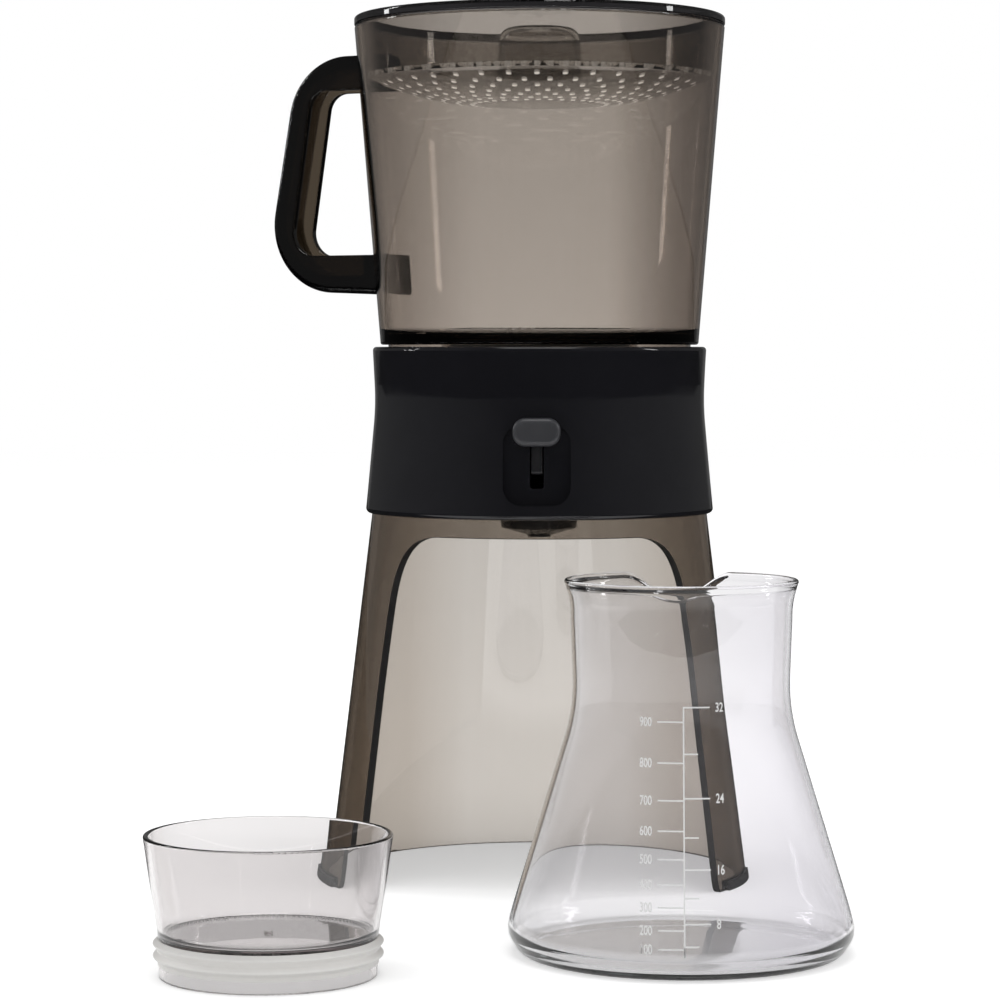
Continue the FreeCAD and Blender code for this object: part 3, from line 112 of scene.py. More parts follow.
def build_zone():
    """Masks, for painted shade and the haze of cut faces, that rise from a start to a stop:
    outwards from the middle, to the right, back, up, and by how squarely a face looks away from
    the Z axis, near 1 on a round wall and less on a cut."""
    group, given, result = new_group(
        "zone", {"Start": 0.0, "Stop": 1.0},
        {"Aside": "NodeSocketFloat", "Right": "NodeSocketFloat", "Back": "NodeSocketFloat",
         "Up": "NodeSocketFloat", "Square": "NodeSocketFloat"})
    at = add_node(group, "ShaderNodeTexCoord")
    place = add_node(group, "ShaderNodeSeparateXYZ", {"Vector": at.outputs["Object"]})
    aside = math_node(group, "ABSOLUTE", place.outputs["X"])
    flat = add_node(group, "ShaderNodeVectorMath", {0: at.outputs["Object"], 1: (1, 1, 0)},
                    operation="MULTIPLY")
    outwards = add_node(group, "ShaderNodeVectorMath", {0: flat.outputs[0]}, operation="NORMALIZE")
    facing = add_node(group, "ShaderNodeVectorMath", {0: outwards.outputs[0], 1: at.outputs["Normal"]},
                      operation="DOT_PRODUCT")
    square = math_node(group, "ABSOLUTE", facing.outputs["Value"])
    ways = {"Aside": aside, "Right": place.outputs["X"], "Back": place.outputs["Y"],
            "Up": place.outputs["Z"], "Square": square}
    for label, value in ways.items():
        mask = add_node(group, "ShaderNodeMapRange",
                        {"Value": value, "From Min": given.outputs["Start"],
                         "From Max": given.outputs["Stop"]})
        group.links.new(mask.outputs[0], result.inputs[label])
    return group


zone = build_zone()


def mask_of(tree, way, start, stop):
    """One mask of the zone group, placed in a material."""
    placed = add_node(tree, "ShaderNodeGroup", {"Start": start, "Stop": stop}, node_tree=zone)
    return placed.outputs[way]


def multiplied(tree, colour, mask, shade):
    """A colour darkened to a share of itself where the mask is full."""
    mix = add_node(tree, "ShaderNodeMix", {"Factor": mask}, data_type="RGBA", blend_type="MULTIPLY")
    tree.links.new(colour, mix.inputs["A"])
    mix.inputs["B"].default_value = (*shade, 1)
    return mix.outputs["Result"]


def shaded(tree, colour, painted_shade_zones):
    """Paints shade into a colour: darkens it in each zone (way, start, stop, shade) of a piece."""
    for way, start, stop, shade in painted_shade_zones:
        colour = multiplied(tree, colour, mask_of(tree, way, start, stop), shade)
    return colour


def surface_of(tree, **values):
    """The moulded surface placed in a material with its own sizes."""
    placed = add_node(tree, "ShaderNodeGroup", node_tree=moulded_surface)
    for label, value in values.items():
        placed.inputs[label.replace("_", " ").title()].default_value = value
    return placed


def new_material(name):
    """A material with only its output, and that output."""
    material = bpy.data.materials.new(name)
    material.use_nodes = True
    material.node_tree.nodes.clear()
    return material, material.node_tree, add_node(material.node_tree, "ShaderNodeOutputMaterial")


def toned(tree, tone, dark, light):
    """A colour that drifts between two close shades with the surface's tone."""
    mix = add_node(tree, "ShaderNodeMix", {"Factor": tone}, data_type="RGBA")
    mix.inputs["A"].default_value = (*dark, 1)
    mix.inputs["B"].default_value = (*light, 1)
    return mix.outputs["Result"]


DEEPER_TONE = 0.985
EDGE_ON_FROM = 0.62
EDGE_ON_TO = 0.84
ROUND_WALL = 0.975
CUT_FACE = 0.90
BEVEL_SAMPLES = 6


def clear_moulding(name, skin_tint, swallowed, ior, waviness, painted_shade_zones=(), painted_edge_shade=None,
                   rounding=0.0, cut_haze=0.0, **surface):
    """Clear plastic or glass with a tint at its skin, that swallows the given amount of red, green
    and blue per metre. Painted shade darkens it in its shade zones and, where asked,
    where it turns edge on. Rounding lets sharp edges catch the light, and cut_haze makes faces
    off the round dull."""
    material, tree, output = new_material(name)
    skin = surface_of(tree, **surface)
    bump = add_node(tree, "ShaderNodeBump",
                    {"Strength": 1.0, "Distance": waviness, "Height": skin.outputs["Height"]})
    if rounding:
        worn = add_node(tree, "ShaderNodeBevel", {"Radius": rounding}, samples=BEVEL_SAMPLES)
        tree.links.new(worn.outputs["Normal"], bump.inputs["Normal"])
    roughness = skin.outputs["Roughness"]
    if cut_haze:
        haze = math_node(tree, "MULTIPLY", mask_of(tree, "Square", ROUND_WALL, CUT_FACE), cut_haze)
        roughness = math_node(tree, "MAXIMUM", roughness, haze)
    deeper = [share * DEEPER_TONE for share in skin_tint]
    # Painted shade: each zone darkens the colour.
    colour = shaded(tree, toned(tree, skin.outputs["Tone"], deeper, skin_tint), painted_shade_zones)
    # Painted shade where the surface turns edge on to the camera.
    if painted_edge_shade:
        slant = add_node(tree, "ShaderNodeLayerWeight", {"Blend": 0.5}).outputs["Facing"]
        edge_shade_mask = add_node(tree, "ShaderNodeMapRange",
                           {"Value": slant, "From Min": EDGE_ON_FROM, "From Max": EDGE_ON_TO},
                           interpolation_type="SMOOTHSTEP")
        colour = multiplied(tree, colour, edge_shade_mask.outputs[0], painted_edge_shade)
    shader = add_node(tree, "ShaderNodeBsdfPrincipled", {
        "Base Color": colour,
        "Roughness": roughness,
        "Normal": bump.outputs["Normal"],
        "IOR": ior,
        "Transmission Weight": 1.0,
    })
    density = max(swallowed)
    tint = add_node(tree, "ShaderNodeVolumeAbsorption", {"Density": density})
    tint.inputs["Color"].default_value = (*(1 - share / density for share in swallowed), 1)
    tree.links.new(shader.outputs["BSDF"], output.inputs["Surface"])
    tree.links.new(tint.outputs["Volume"], output.inputs["Volume"])
    return material


def finish_node(name, material):
    """Gives a carried-over piece its finish."""
    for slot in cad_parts[name].material_slots:
        slot.material = material


STYRENE_IOR = 1.57
# Painted shade: darker at the front, outwards and towards the foot, and nearly black on the cut faces.
STAND_PAINTED_SHADE = [
    ("Back", 0.03, -0.005, (0.62, 0.58, 0.54)),
    ("Aside", 0.035, 0.062, (0.82, 0.79, 0.76)),
    ("Up", 0.13, 0.05, (0.96, 0.955, 0.95)),
    ("Square", ROUND_WALL, CUT_FACE, (0.10, 0.095, 0.09)),
]
finish_node("stand_shell", clear_moulding(
    "stand_smoke", skin_tint=(0.895, 0.893, 0.886), swallowed=(142, 158, 176), ior=STYRENE_IOR,
    waviness=2e-5, painted_shade_zones=STAND_PAINTED_SHADE, cut_haze=0.6, wave_length=0.035, smooth=0.0, hazy=0.03))


# ---- Foot pads --------------------------------------------------------------------------
# Two soft dark clips under the front corners of the legs. They are rubber, so they are dull
# and a little dusty.

def opaque_finish(name, dark, light, relief, depth, follows="Height", ior=1.5, **surface):
    """An opaque skin that drifts between two close shades. Its relief follows the surface's
    waves or its tone, to a depth in metres."""
    material, tree, output = new_material(name)
    skin = surface_of(tree, **surface)
    bump = add_node(tree, "ShaderNodeBump",
                    {"Strength": relief, "Distance": depth, "Height": skin.outputs[follows]})
    shader = add_node(tree, "ShaderNodeBsdfPrincipled", {
        "Base Color": toned(tree, skin.outputs["Tone"], dark, light),
        "Roughness": skin.outputs["Roughness"],
        "Normal": bump.outputs["Normal"],
        "IOR": ior,
    })
    tree.links.new(shader.outputs["BSDF"], output.inputs["Surface"])
    return material


finish_node("foot_pads", opaque_finish(
    "pad_rubber", dark=(0.010, 0.009, 0.009), light=(0.022, 0.021, 0.020), relief=0.6, depth=5e-5,
    follows="Tone", wave_length=0.006, haze_size=0.002, smooth=0.55, hazy=0.8))


# ---- Collar and deck --------------------------------------------------------------------
# The black band that joins the stand to the container. It is polished ABS with a faint blue
# cast; the deck inside it, under the container, is the same moulding material.

collar_black = opaque_finish(
    "collar_black", dark=(0.0085, 0.0085, 0.0105), light=(0.012, 0.012, 0.015), relief=1.0,
    depth=1e-5, ior=1.52, wave_length=0.05, haze_size=0.02, smooth=0.06, hazy=0.16)
finish_node("collar", collar_black)
finish_node("collar_deck", collar_black)


# ---- Base plate, lever bracket and drip spout -------------------------------------------
# The moulded works under the collar: a cover plate, the lever's bracket on it and the spout
# that gathers the coffee. Fine spark-eroded texture hides the flow marks of the plastic.

def textured_plastic(name, dark, light, grain, smooth, hazy):
    """Moulded plastic with a fine grain."""
    return opaque_finish(name, dark, light, relief=0.5, depth=4e-5,
                         wave_length=grain, haze_size=0.008, smooth=smooth, hazy=hazy)


works_black = textured_plastic(
    "works_black", dark=(0.010, 0.010, 0.011), light=(0.017, 0.017, 0.018),
    grain=0.0006, smooth=0.35, hazy=0.5)
finish_node("base_plate", works_black)
finish_node("lever_bracket", works_black)
finish_node("drip_spout", textured_plastic(
    "spout_black", dark=(0.006, 0.006, 0.006), light=(0.010, 0.010, 0.010),
    grain=0.0008, smooth=0.22, hazy=0.34))


# ---- Screws, pin and clip ---------------------------------------------------------------
# Stainless fasteners. Turned and rolled steel keeps fine marks across its length, which break
# its shine into short bright dashes.

MARK_LENGTH = 0.002
MARKS_SQUEEZED = (1, 1, 14)


def bright_steel(name, dark, light, smooth, hazy):
    """Bare steel between two shades, with fine marks that lie level."""
    material, tree, output = new_material(name)
    skin = surface_of(tree, wave_length=0.004, haze_size=0.0015, smooth=smooth, hazy=hazy)
    place = add_node(tree, "ShaderNodeTexCoord").outputs["Object"]
    squeezed = add_node(tree, "ShaderNodeMapping", {"Vector": place, "Scale": MARKS_SQUEEZED})
    marks = add_node(tree, "ShaderNodeTexNoise",
                     {"Vector": squeezed.outputs["Vector"], "Scale": 1 / MARK_LENGTH, "Detail": 3.0})
    bump = add_node(tree, "ShaderNodeBump",
                    {"Strength": 0.35, "Distance": 2e-5, "Height": marks.outputs[0]})
    shader = add_node(tree, "ShaderNodeBsdfPrincipled", {
        "Base Color": toned(tree, skin.outputs["Tone"], dark, light),
        "Roughness": skin.outputs["Roughness"],
        "Normal": bump.outputs["Normal"],
        "Metallic": 1.0,
    })
    tree.links.new(shader.outputs["BSDF"], output.inputs["Surface"])
    return material


screw_steel = bright_steel(
    "screw_steel", dark=(0.42, 0.41, 0.40), light=(0.58, 0.57, 0.55), smooth=0.22, hazy=0.38)
for name in ("case_screws", "spout_screws", "bracket_screws", "lever_pin", "valve_clip"):
    finish_node(name, screw_steel)


# ---- Switch -----------------------------------------------------------------------------
# The thumb pad that opens the drain, and the lever that it drives behind the slot. The pad
# is soft-touch grey and satin; its tone drifts at random rather than following where the thumb has
# polished it.

finish_node("switch_pad", textured_plastic(
    "pad_grey", dark=(0.040, 0.041, 0.046), light=(0.056, 0.057, 0.063),
    grain=0.0005, smooth=0.34, hazy=0.46))
finish_node("switch_lever", textured_plastic(
    "lever_grey", dark=(0.022, 0.022, 0.025), light=(0.032, 0.032, 0.036),
    grain=0.0007, smooth=0.30, hazy=0.42))


# ---- Brewing container and handle -------------------------------------------------------
# The tall flared jar and its C-shaped handle, in the stand's smoke tint. The handle is a
# thick channel in a deeper tint, so almost no light comes through its spine.

# Painted shade on the jar: darker towards its sides, more on the right, towards its top, and where its
# wall turns edge on.
CONTAINER_PAINTED_SHADE = [
    ("Aside", 0.030, 0.076, (0.76, 0.74, 0.73)),
    ("Right", 0.035, 0.078, (0.74, 0.73, 0.73)),
    ("Up", 0.24, 0.35, (0.885, 0.885, 0.88)),
]
finish_node("container", clear_moulding(
    "container_smoke", skin_tint=(0.97, 0.965, 0.96), swallowed=(140, 162, 184), ior=STYRENE_IOR,
    waviness=2e-5, painted_shade_zones=CONTAINER_PAINTED_SHADE, painted_edge_shade=(0.30, 0.29, 0.28),
    wave_length=0.04, smooth=0.0, hazy=0.03))
finish_node("handle", clear_moulding(
    "handle_smoke", skin_tint=(0.42, 0.39, 0.35), swallowed=(520, 570, 640), ior=STYRENE_IOR,
    waviness=2e-5, rounding=0.0016, wave_length=0.02, smooth=0.0, hazy=0.04))


# ---- Valve ------------------------------------------------------------------------------
# Under the filter a clear threaded housing is held by a black nut. A sprung plunger with a
# silicone seal closes it until the switch lifts the stem.

finish_node("valve_housing", clear_moulding(
    "housing_clear", skin_tint=(1.0, 1.0, 1.0), swallowed=(40, 44, 50), ior=STYRENE_IOR,
    waviness=1e-5, wave_length=0.01, smooth=0.02, hazy=0.10))
finish_node("valve_nut", works_black)
finish_node("valve_plunger", textured_plastic(
    "plunger_black", dark=(0.008, 0.008, 0.008), light=(0.014, 0.014, 0.014),
    grain=0.0006, smooth=0.25, hazy=0.4))


# ---- Valve spring -----------------------------------------------------------------------
# A compression spring of bright steel wire, wound round the stem between its clip and the
# housing's spider. The clip carries its foot, so the real spring shortens as the switch lifts the
# stem; here it is one rigid coil attached to the valve's body.

SPRING_WIRE = 0.0008
SPRING_TURNS = 5
COIL_STEPS = 40
WIRE_FACETS = 12


def new_piece(name, mesh):
    """A visible piece made of a finished bmesh, which is freed."""
    data = bpy.data.meshes.new(name)
    mesh.to_mesh(data)
    mesh.free()
    piece = bpy.data.objects.new(name, data)
    bpy.context.scene.collection.objects.link(piece)
    return piece


def wire_coil(name, radius, low, high):
    """A round wire wound round the Z axis, with closed ends."""
    mesh = bmesh.new()
    steps = SPRING_TURNS * COIL_STEPS
    thick = SPRING_WIRE / 2
    facets = [math.tau * k / WIRE_FACETS for k in range(WIRE_FACETS)]
    rings = []
    for step in range(steps + 1):
        share = step / steps
        turn = Matrix.Rotation(share * SPRING_TURNS * math.tau, 3, "Z")
        z = low + thick + share * (high - low - 2 * thick)
        section = [(radius + thick * math.cos(a), 0, z + thick * math.sin(a)) for a in facets]
        rings.append([mesh.verts.new(turn @ Vector(corner)) for corner in section])
    for ring, following in zip(rings, rings[1:]):
        for k in range(WIRE_FACETS):
            mesh.faces.new((ring[k], ring[k - 1], following[k - 1], following[k]))
    mesh.faces.new(rings[0])
    mesh.faces.new(rings[-1])
    bmesh.ops.recalc_face_normals(mesh, faces=mesh.faces)
    return new_piece(name, mesh)


spring_low, spring_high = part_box("valve_spring")
coil_radius = (spring_high.x - spring_low.x - SPRING_WIRE) / 2
coil = wire_coil("valve_coil", coil_radius, spring_low.z, spring_high.z)
coil.data.materials.append(screw_steel)
coil.data.shade_smooth()
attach(coil, "valve")
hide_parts("valve_spring")
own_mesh(coil)


# ---- Silicone seals ---------------------------------------------------------------------
# Milky silicone: the stopper's finned band, the filter's edge and the valve's washers. It
# is soft and satin, slightly yellow in its depth, and draws fine dust.

seal_silicone = opaque_finish(
    "seal_silicone", dark=(0.84, 0.825, 0.80), light=(0.90, 0.885, 0.86), relief=0.4, depth=3e-5,
    ior=1.41, wave_length=0.008, haze_size=0.003, smooth=0.38, hazy=0.52)
for name in ("stopper_gasket", "filter_gasket", "housing_gasket", "valve_seal"):
    finish_node(name, seal_silicone)


# ---- Filter -----------------------------------------------------------------------------
# A flat disc of woven stainless cloth in a black spoked frame. The cloth's wires cross over
# and under at a fine pitch and leave square holes between them.

WIRE_EDGE = 0.02

finish_node("filter_frame", works_black)


def woven_cloth(name, dark, light, pitch, wire_share):
    """Steel cloth: two crossed sets of round wires, with square holes where neither lies. The wires
    have painted shade, darker towards their edges and lighter on their crowns.
    """
    material, tree, output = new_material(name)
    place = add_node(tree, "ShaderNodeSeparateXYZ",
                     {"Vector": add_node(tree, "ShaderNodeTexCoord").outputs["Object"]})
    heights = []
    for axis in ("X", "Y"):
        turns = math_node(tree, "DIVIDE", place.outputs[axis], pitch)
        heights.append(math_node(tree, "PINGPONG", turns, 1.0))
    upper = math_node(tree, "MAXIMUM", *heights)
    wire = add_node(tree, "ShaderNodeMapRange",
                    {"Value": upper, "From Min": 1 - wire_share, "From Max": 1.0})
    solid = math_node(tree, "GREATER_THAN", wire.outputs[0], WIRE_EDGE)
    bump = add_node(tree, "ShaderNodeBump",
                    {"Strength": 1.0, "Distance": pitch / 4, "Height": wire.outputs[0]})
    # Painted shade: each wire is darker towards its edges and lighter on its crown.
    shader = add_node(tree, "ShaderNodeBsdfPrincipled", {
        "Base Color": toned(tree, wire.outputs[0], dark, light),
        "Roughness": 0.32,
        "Normal": bump.outputs["Normal"],
        "Metallic": 1.0,
        "Alpha": solid,
    })
    tree.links.new(shader.outputs["BSDF"], output.inputs["Surface"])
    return material


finish_node("filter_mesh", woven_cloth(
    "filter_cloth", dark=(0.30, 0.29, 0.28), light=(0.62, 0.61, 0.59), pitch=0.0005, wire_share=0.6))


# ---- Lid --------------------------------------------------------------------------------
# A tray that hangs in the container's mouth by its thick rim, with a hollow knob on it. They
# are welded to the plate that the water rains through.

# Painted shade: the rim that rests on the container is painted near black, as it looks edge on; the
# ring is darker towards its sides, and the knob where it turns edge on.
LID_PAINTED_SHADE = [
    ("Up", 0.3725, 0.3735, (0.03, 0.03, 0.034)),
    ("Aside", 0.035, 0.078, (0.80, 0.79, 0.78)),
]
finish_node("lid_ring", clear_moulding(
    "lid_smoke", skin_tint=(0.60, 0.58, 0.56), swallowed=(12, 14, 16), ior=STYRENE_IOR,
    waviness=2e-5, painted_shade_zones=LID_PAINTED_SHADE, wave_length=0.03, smooth=0.0, hazy=0.03))
finish_node("lid_knob", clear_moulding(
    "knob_smoke", skin_tint=(0.74, 0.72, 0.70), swallowed=(60, 66, 74), ior=STYRENE_IOR,
    waviness=1e-5, painted_edge_shade=(0.2, 0.19, 0.18), wave_length=0.02, smooth=0.0, hazy=0.03))


# ---- Rain plate -------------------------------------------------------------------------
# The lid's dished floor. Rings of small round holes spread the water over the coffee, each
# ring turned half a pitch from the next. The holes' walls carry a painted glint: a pale colour
# that also glows, so they read as bright dots in the smoke plastic.

PLATE_WALL = 0.0022
DISH_FLAT_RADIUS = 0.022
HOLE_RADIUS = 0.00115
HOLE_RINGS = 7
HOLES_PER_RING = 36
HOLE_RING_FIRST = 0.0296
HOLE_RING_STEP = 0.00635
PLATE_STEPS = 180
DISH_STEPS = 14
TRAY_WALL = 0.0022
PAINTED_GLINT_GLOW = 0.7
PUNCH_FACETS = 16
PUNCH_LENGTH = 0.04
SHARP_FROM = math.radians(35)


def ring_mesh(name, points_at, outline, steps):
    """A closed shell wound outwards: points_at places each outline point at a turn about +Z. The
    outline starts and ends on the axis."""
    mesh = bmesh.new()
    turns = [math.tau * i / steps for i in range(steps)]
    rings = [[mesh.verts.new(points_at(outline[0], 0))] * steps]
    rings += [[mesh.verts.new(points_at(corner, turn)) for turn in turns] for corner in outline[1:-1]]
    rings.append([mesh.verts.new(points_at(outline[-1], 0))] * steps)
    for low, high in zip(rings, rings[1:]):
        for i in range(steps):
            j = (i + 1) % steps
            corners = [low[i], low[j], high[j], high[i]]
            mesh.faces.new(list(dict.fromkeys(corners)))
    bmesh.ops.recalc_face_normals(mesh, faces=mesh.faces)
    return new_piece(name, mesh)


def turned_point(corner, turn):
    """A plain turned shape: the corner is a radius and a height."""
    radius, z = corner
    return radius * math.cos(turn), radius * math.sin(turn), z


def dish_outline(low, high):
    """Half the plate's section: the under side out from the axis, then the upper side back."""
    depth = (high.z - low.z) - PLATE_WALL
    run = high.x - TRAY_WALL - DISH_FLAT_RADIUS
    bend = (run * run + depth * depth) / (2 * depth)
    under = [(0.0, low.z)]
    for i in range(DISH_STEPS + 1):
        reach = run * i / DISH_STEPS
        under.append((DISH_FLAT_RADIUS + reach, low.z + bend - math.sqrt(bend * bend - reach * reach)))
    under.append((high.x, high.z - PLATE_WALL))
    return under + [(radius, z + PLATE_WALL) for radius, z in reversed(under)]


def build_ring_punch():
    """Punches staggered rings of round holes through the shape that it is given."""
    tree = bpy.data.node_groups.new("ring_punch", "GeometryNodeTree")
    sockets = tree.interface
    sockets.new_socket("Geometry", in_out="INPUT", socket_type="NodeSocketGeometry")
    for label in ("Rings", "Holes"):
        sockets.new_socket(label, in_out="INPUT", socket_type="NodeSocketInt")
    for label in ("First Ring", "Ring Step", "Hole Radius", "Height"):
        sockets.new_socket(label, in_out="INPUT", socket_type="NodeSocketFloat")
    for label in ("Plate Finish", "Hole Finish"):
        sockets.new_socket(label, in_out="INPUT", socket_type="NodeSocketMaterial")
    sockets.new_socket("Geometry", in_out="OUTPUT", socket_type="NodeSocketGeometry")
    given = add_node(tree, "NodeGroupInput").outputs
    result = add_node(tree, "NodeGroupOutput")
    points = add_node(tree, "GeometryNodePoints",
                      {"Count": math_node(tree, "MULTIPLY", given["Rings"], given["Holes"])})
    index = add_node(tree, "GeometryNodeInputIndex").outputs[0]
    share = math_node(tree, "DIVIDE", index, given["Holes"])
    ring = math_node(tree, "FLOOR", share)
    stagger = math_node(tree, "DIVIDE", math_node(tree, "MODULO", ring, 2.0), given["Holes"])
    half_stagger = math_node(tree, "MULTIPLY", stagger, 0.5)
    turn = math_node(tree, "ADD", math_node(tree, "FRACT", share), half_stagger)
    angle = math_node(tree, "MULTIPLY", turn, math.tau)
    radius = math_node(tree, "MULTIPLY_ADD", ring, given["Ring Step"], given["First Ring"])
    place = add_node(tree, "ShaderNodeCombineXYZ", {
        "X": math_node(tree, "MULTIPLY", radius, math_node(tree, "COSINE", angle)),
        "Y": math_node(tree, "MULTIPLY", radius, math_node(tree, "SINE", angle)),
        "Z": given["Height"],
    })
    placed = add_node(tree, "GeometryNodeSetPosition",
                      {"Geometry": points.outputs["Geometry"], "Position": place.outputs["Vector"]})
    punch = add_node(tree, "GeometryNodeMeshCylinder",
                     {"Vertices": PUNCH_FACETS, "Radius": given["Hole Radius"], "Depth": PUNCH_LENGTH})
    punches = add_node(tree, "GeometryNodeInstanceOnPoints",
                       {"Points": placed.outputs["Geometry"], "Instance": punch.outputs["Mesh"]})
    realized = add_node(tree, "GeometryNodeRealizeInstances",
                        {"Geometry": punches.outputs["Instances"]})
    walls = add_node(tree, "GeometryNodeSetMaterial",
                     {"Geometry": realized.outputs["Geometry"], "Material": given["Hole Finish"]})
    plate = add_node(tree, "GeometryNodeSetMaterial",
                     {"Geometry": given["Geometry"], "Material": given["Plate Finish"]})
    cut = add_node(tree, "GeometryNodeMeshBoolean",
                   {"Mesh 1": plate.outputs["Geometry"], "Mesh 2": walls.outputs["Geometry"]},
                   operation="DIFFERENCE", solver="EXACT")
    tree.links.new(cut.outputs["Mesh"], result.inputs["Geometry"])
    return tree


def set_inputs(modifier, values):
    """Sets a Geometry Nodes modifier's inputs by the names of its tree's sockets."""
    for item in modifier.node_group.interface.items_tree:
        if item.item_type == "SOCKET" and item.in_out == "INPUT" and item.name in values:
            modifier[item.identifier] = values[item.name]


def made_plain(piece):
    """Bakes a piece's modifiers into a plain mesh and removes them."""
    bpy.context.view_layer.update()
    evaluated = piece.evaluated_get(bpy.context.evaluated_depsgraph_get())
    data = bpy.data.meshes.new_from_object(evaluated)
    piece.modifiers.clear()
    piece.data = data


def bright_walls(name, dark, light, smooth, hazy):
    """Walls with a painted glint: a pale colour that also glows, in place of the light that the holes
    bend through the plastic.
    """
    material, tree, output = new_material(name)
    skin = surface_of(tree, wave_length=0.002, haze_size=0.001, smooth=smooth, hazy=hazy)
    # Painted glint: a pale colour that is also given off as light.
    glint = toned(tree, skin.outputs["Tone"], dark, light)
    shader = add_node(tree, "ShaderNodeBsdfPrincipled", {
        "Base Color": glint,
        "Roughness": skin.outputs["Roughness"],
        "Emission Color": glint,
        "Emission Strength": PAINTED_GLINT_GLOW,
    })
    tree.links.new(shader.outputs["BSDF"], output.inputs["Surface"])
    return material


plate_smoke = clear_moulding(
    "plate_smoke", skin_tint=(0.38, 0.365, 0.35), swallowed=(12, 14, 16), ior=STYRENE_IOR,
    waviness=1e-5, wave_length=0.03, smooth=0.0, hazy=0.03)
# Painted glint on the holes' walls.
hole_painted_glint = bright_walls(
    "hole_painted_glint", dark=(0.55, 0.54, 0.52), light=(0.95, 0.94, 0.92), smooth=0.25, hazy=0.5)

plate_low, plate_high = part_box("rain_plate")
plate_outline = dish_outline(plate_low, plate_high)
rain_plate = ring_mesh("rain_plate_punched", turned_point, plate_outline, PLATE_STEPS)
punching = rain_plate.modifiers.new("holes", "NODES")
punching.node_group = build_ring_punch()
set_inputs(punching, {
    "Rings": HOLE_RINGS, "Holes": HOLES_PER_RING, "First Ring": HOLE_RING_FIRST,
    "Ring Step": HOLE_RING_STEP, "Hole Radius": HOLE_RADIUS, "Height": plate_low.z,
    "Plate Finish": plate_smoke, "Hole Finish": hole_painted_glint,
})
made_plain(rain_plate)
rain_plate.data.shade_smooth()
rain_plate.data.set_sharp_from_angle(angle=SHARP_FROM)
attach(rain_plate, "lid")
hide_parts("rain_plate")


# ---- Carafe -----------------------------------------------------------------------------
# A blown borosilicate flask with a flared, fire-polished rim and a pinched pouring lip. Its
# glass is nearly colourless and 1.6 mm thick, and its foot is pushed up a little.

CARAFE_CENTRE = Vector((0.0573, -0.188, 0))
# Painted shade: the glass is a little darker and greyer towards its top and its right side.
CARAFE_PAINTED_SHADE = [
    ("Up", 0.075, 0.10, (0.965, 0.965, 0.965)),
    ("Right", 0.055, 0.10, (0.94, 0.935, 0.95)),
]
FLASK_STEPS = 240
GLASS_WALL = 0.0016
GLASS_IOR = 1.474
RIM_BEAD = 0.0011
RIM_BEAD_FROM = math.radians(-36)
RIM_BEAD_TO = math.radians(216)
BASE_PUSH_UP = 0.0015
FLOOR_CENTRE = 0.0045
HEEL_CENTRE = (0.056, 0.0085)
HEEL_STEPS = 16
SIDE_STEPS = 52
BEAD_STEPS = 10
CLEAR_OF_WALL = 0.1
CLEAR_OF_HEEL = 0.02
LIP_DROP = 0.0106
LIP_HALF_WIDTH = 0.022
LIP_REACH = 0.009
LIP_LENGTH = 0.03
LIP_SPREAD = math.radians(15)
LIP_CURL = 1.5

carafe_glass = clear_moulding(
    "carafe_glass", skin_tint=(0.965, 0.957, 0.967), swallowed=(4, 3, 3), ior=GLASS_IOR,
    waviness=2e-5, painted_shade_zones=CARAFE_PAINTED_SHADE, wave_length=0.03, smooth=0.0, hazy=0.01)


def mesh_tree(piece):
    """A tree for casting rays at a piece that stands at the origin."""
    data = piece.data
    return BVHTree.FromPolygons([v.co for v in data.vertices], [f.vertices for f in data.polygons])


def flask_radius(z):
    """The outer radius of the solid's wall at a height, on the side away from the lip."""
    away = Vector((0, -1, 0))
    hit = flask_solid.ray_cast(CARAFE_CENTRE + away * CLEAR_OF_WALL + Vector((0, 0, z)), -away)[0]
    return CARAFE_CENTRE.y - hit.y


def heel_points(outside):
    """The rounded heel between foot and side, outside or inside the wall, from foot to side."""
    radius, z = HEEL_CENTRE
    centre = CARAFE_CENTRE + Vector((0, -radius, z))
    points = []
    for i in range(HEEL_STEPS):
        tilt = math.pi / 2 * (1 - i / HEEL_STEPS)
        out = Vector((0, -math.cos(tilt), -math.sin(tilt)))
        start, way = (centre + out * CLEAR_OF_HEEL, -out) if outside else (centre, out)
        hit = flask_solid.ray_cast(start, way)[0]
        points.append((CARAFE_CENTRE.y - hit.y, hit.z))
    return points


def flask_outline():
    """Corners (share of the wall inwards, height, radius where it is fixed) from foot to floor."""
    rise = carafe_top - RIM_BEAD - HEEL_CENTRE[1]
    heights = [HEEL_CENTRE[1] + rise * i / SIDE_STEPS for i in range(SIDE_STEPS)]
    bead = []
    for i in range(BEAD_STEPS + 1):
        turn = RIM_BEAD_FROM + (RIM_BEAD_TO - RIM_BEAD_FROM) * i / BEAD_STEPS
        inwards = 0.5 - math.cos(turn) * RIM_BEAD / GLASS_WALL
        bead.append((inwards, carafe_top - RIM_BEAD * (1 - math.sin(turn)), None))
    outside = [(0, z, radius) for radius, z in heel_points(True)]
    outside += [(0, z, None) for z in heights]
    inside = [(1, z, radius) for radius, z in heel_points(False)]
    inside += [(1, z, None) for z in heights]
    return [(0, BASE_PUSH_UP, 0.0)] + outside + bead + inside[::-1] + [(1, FLOOR_CENTRE, 0.0)]


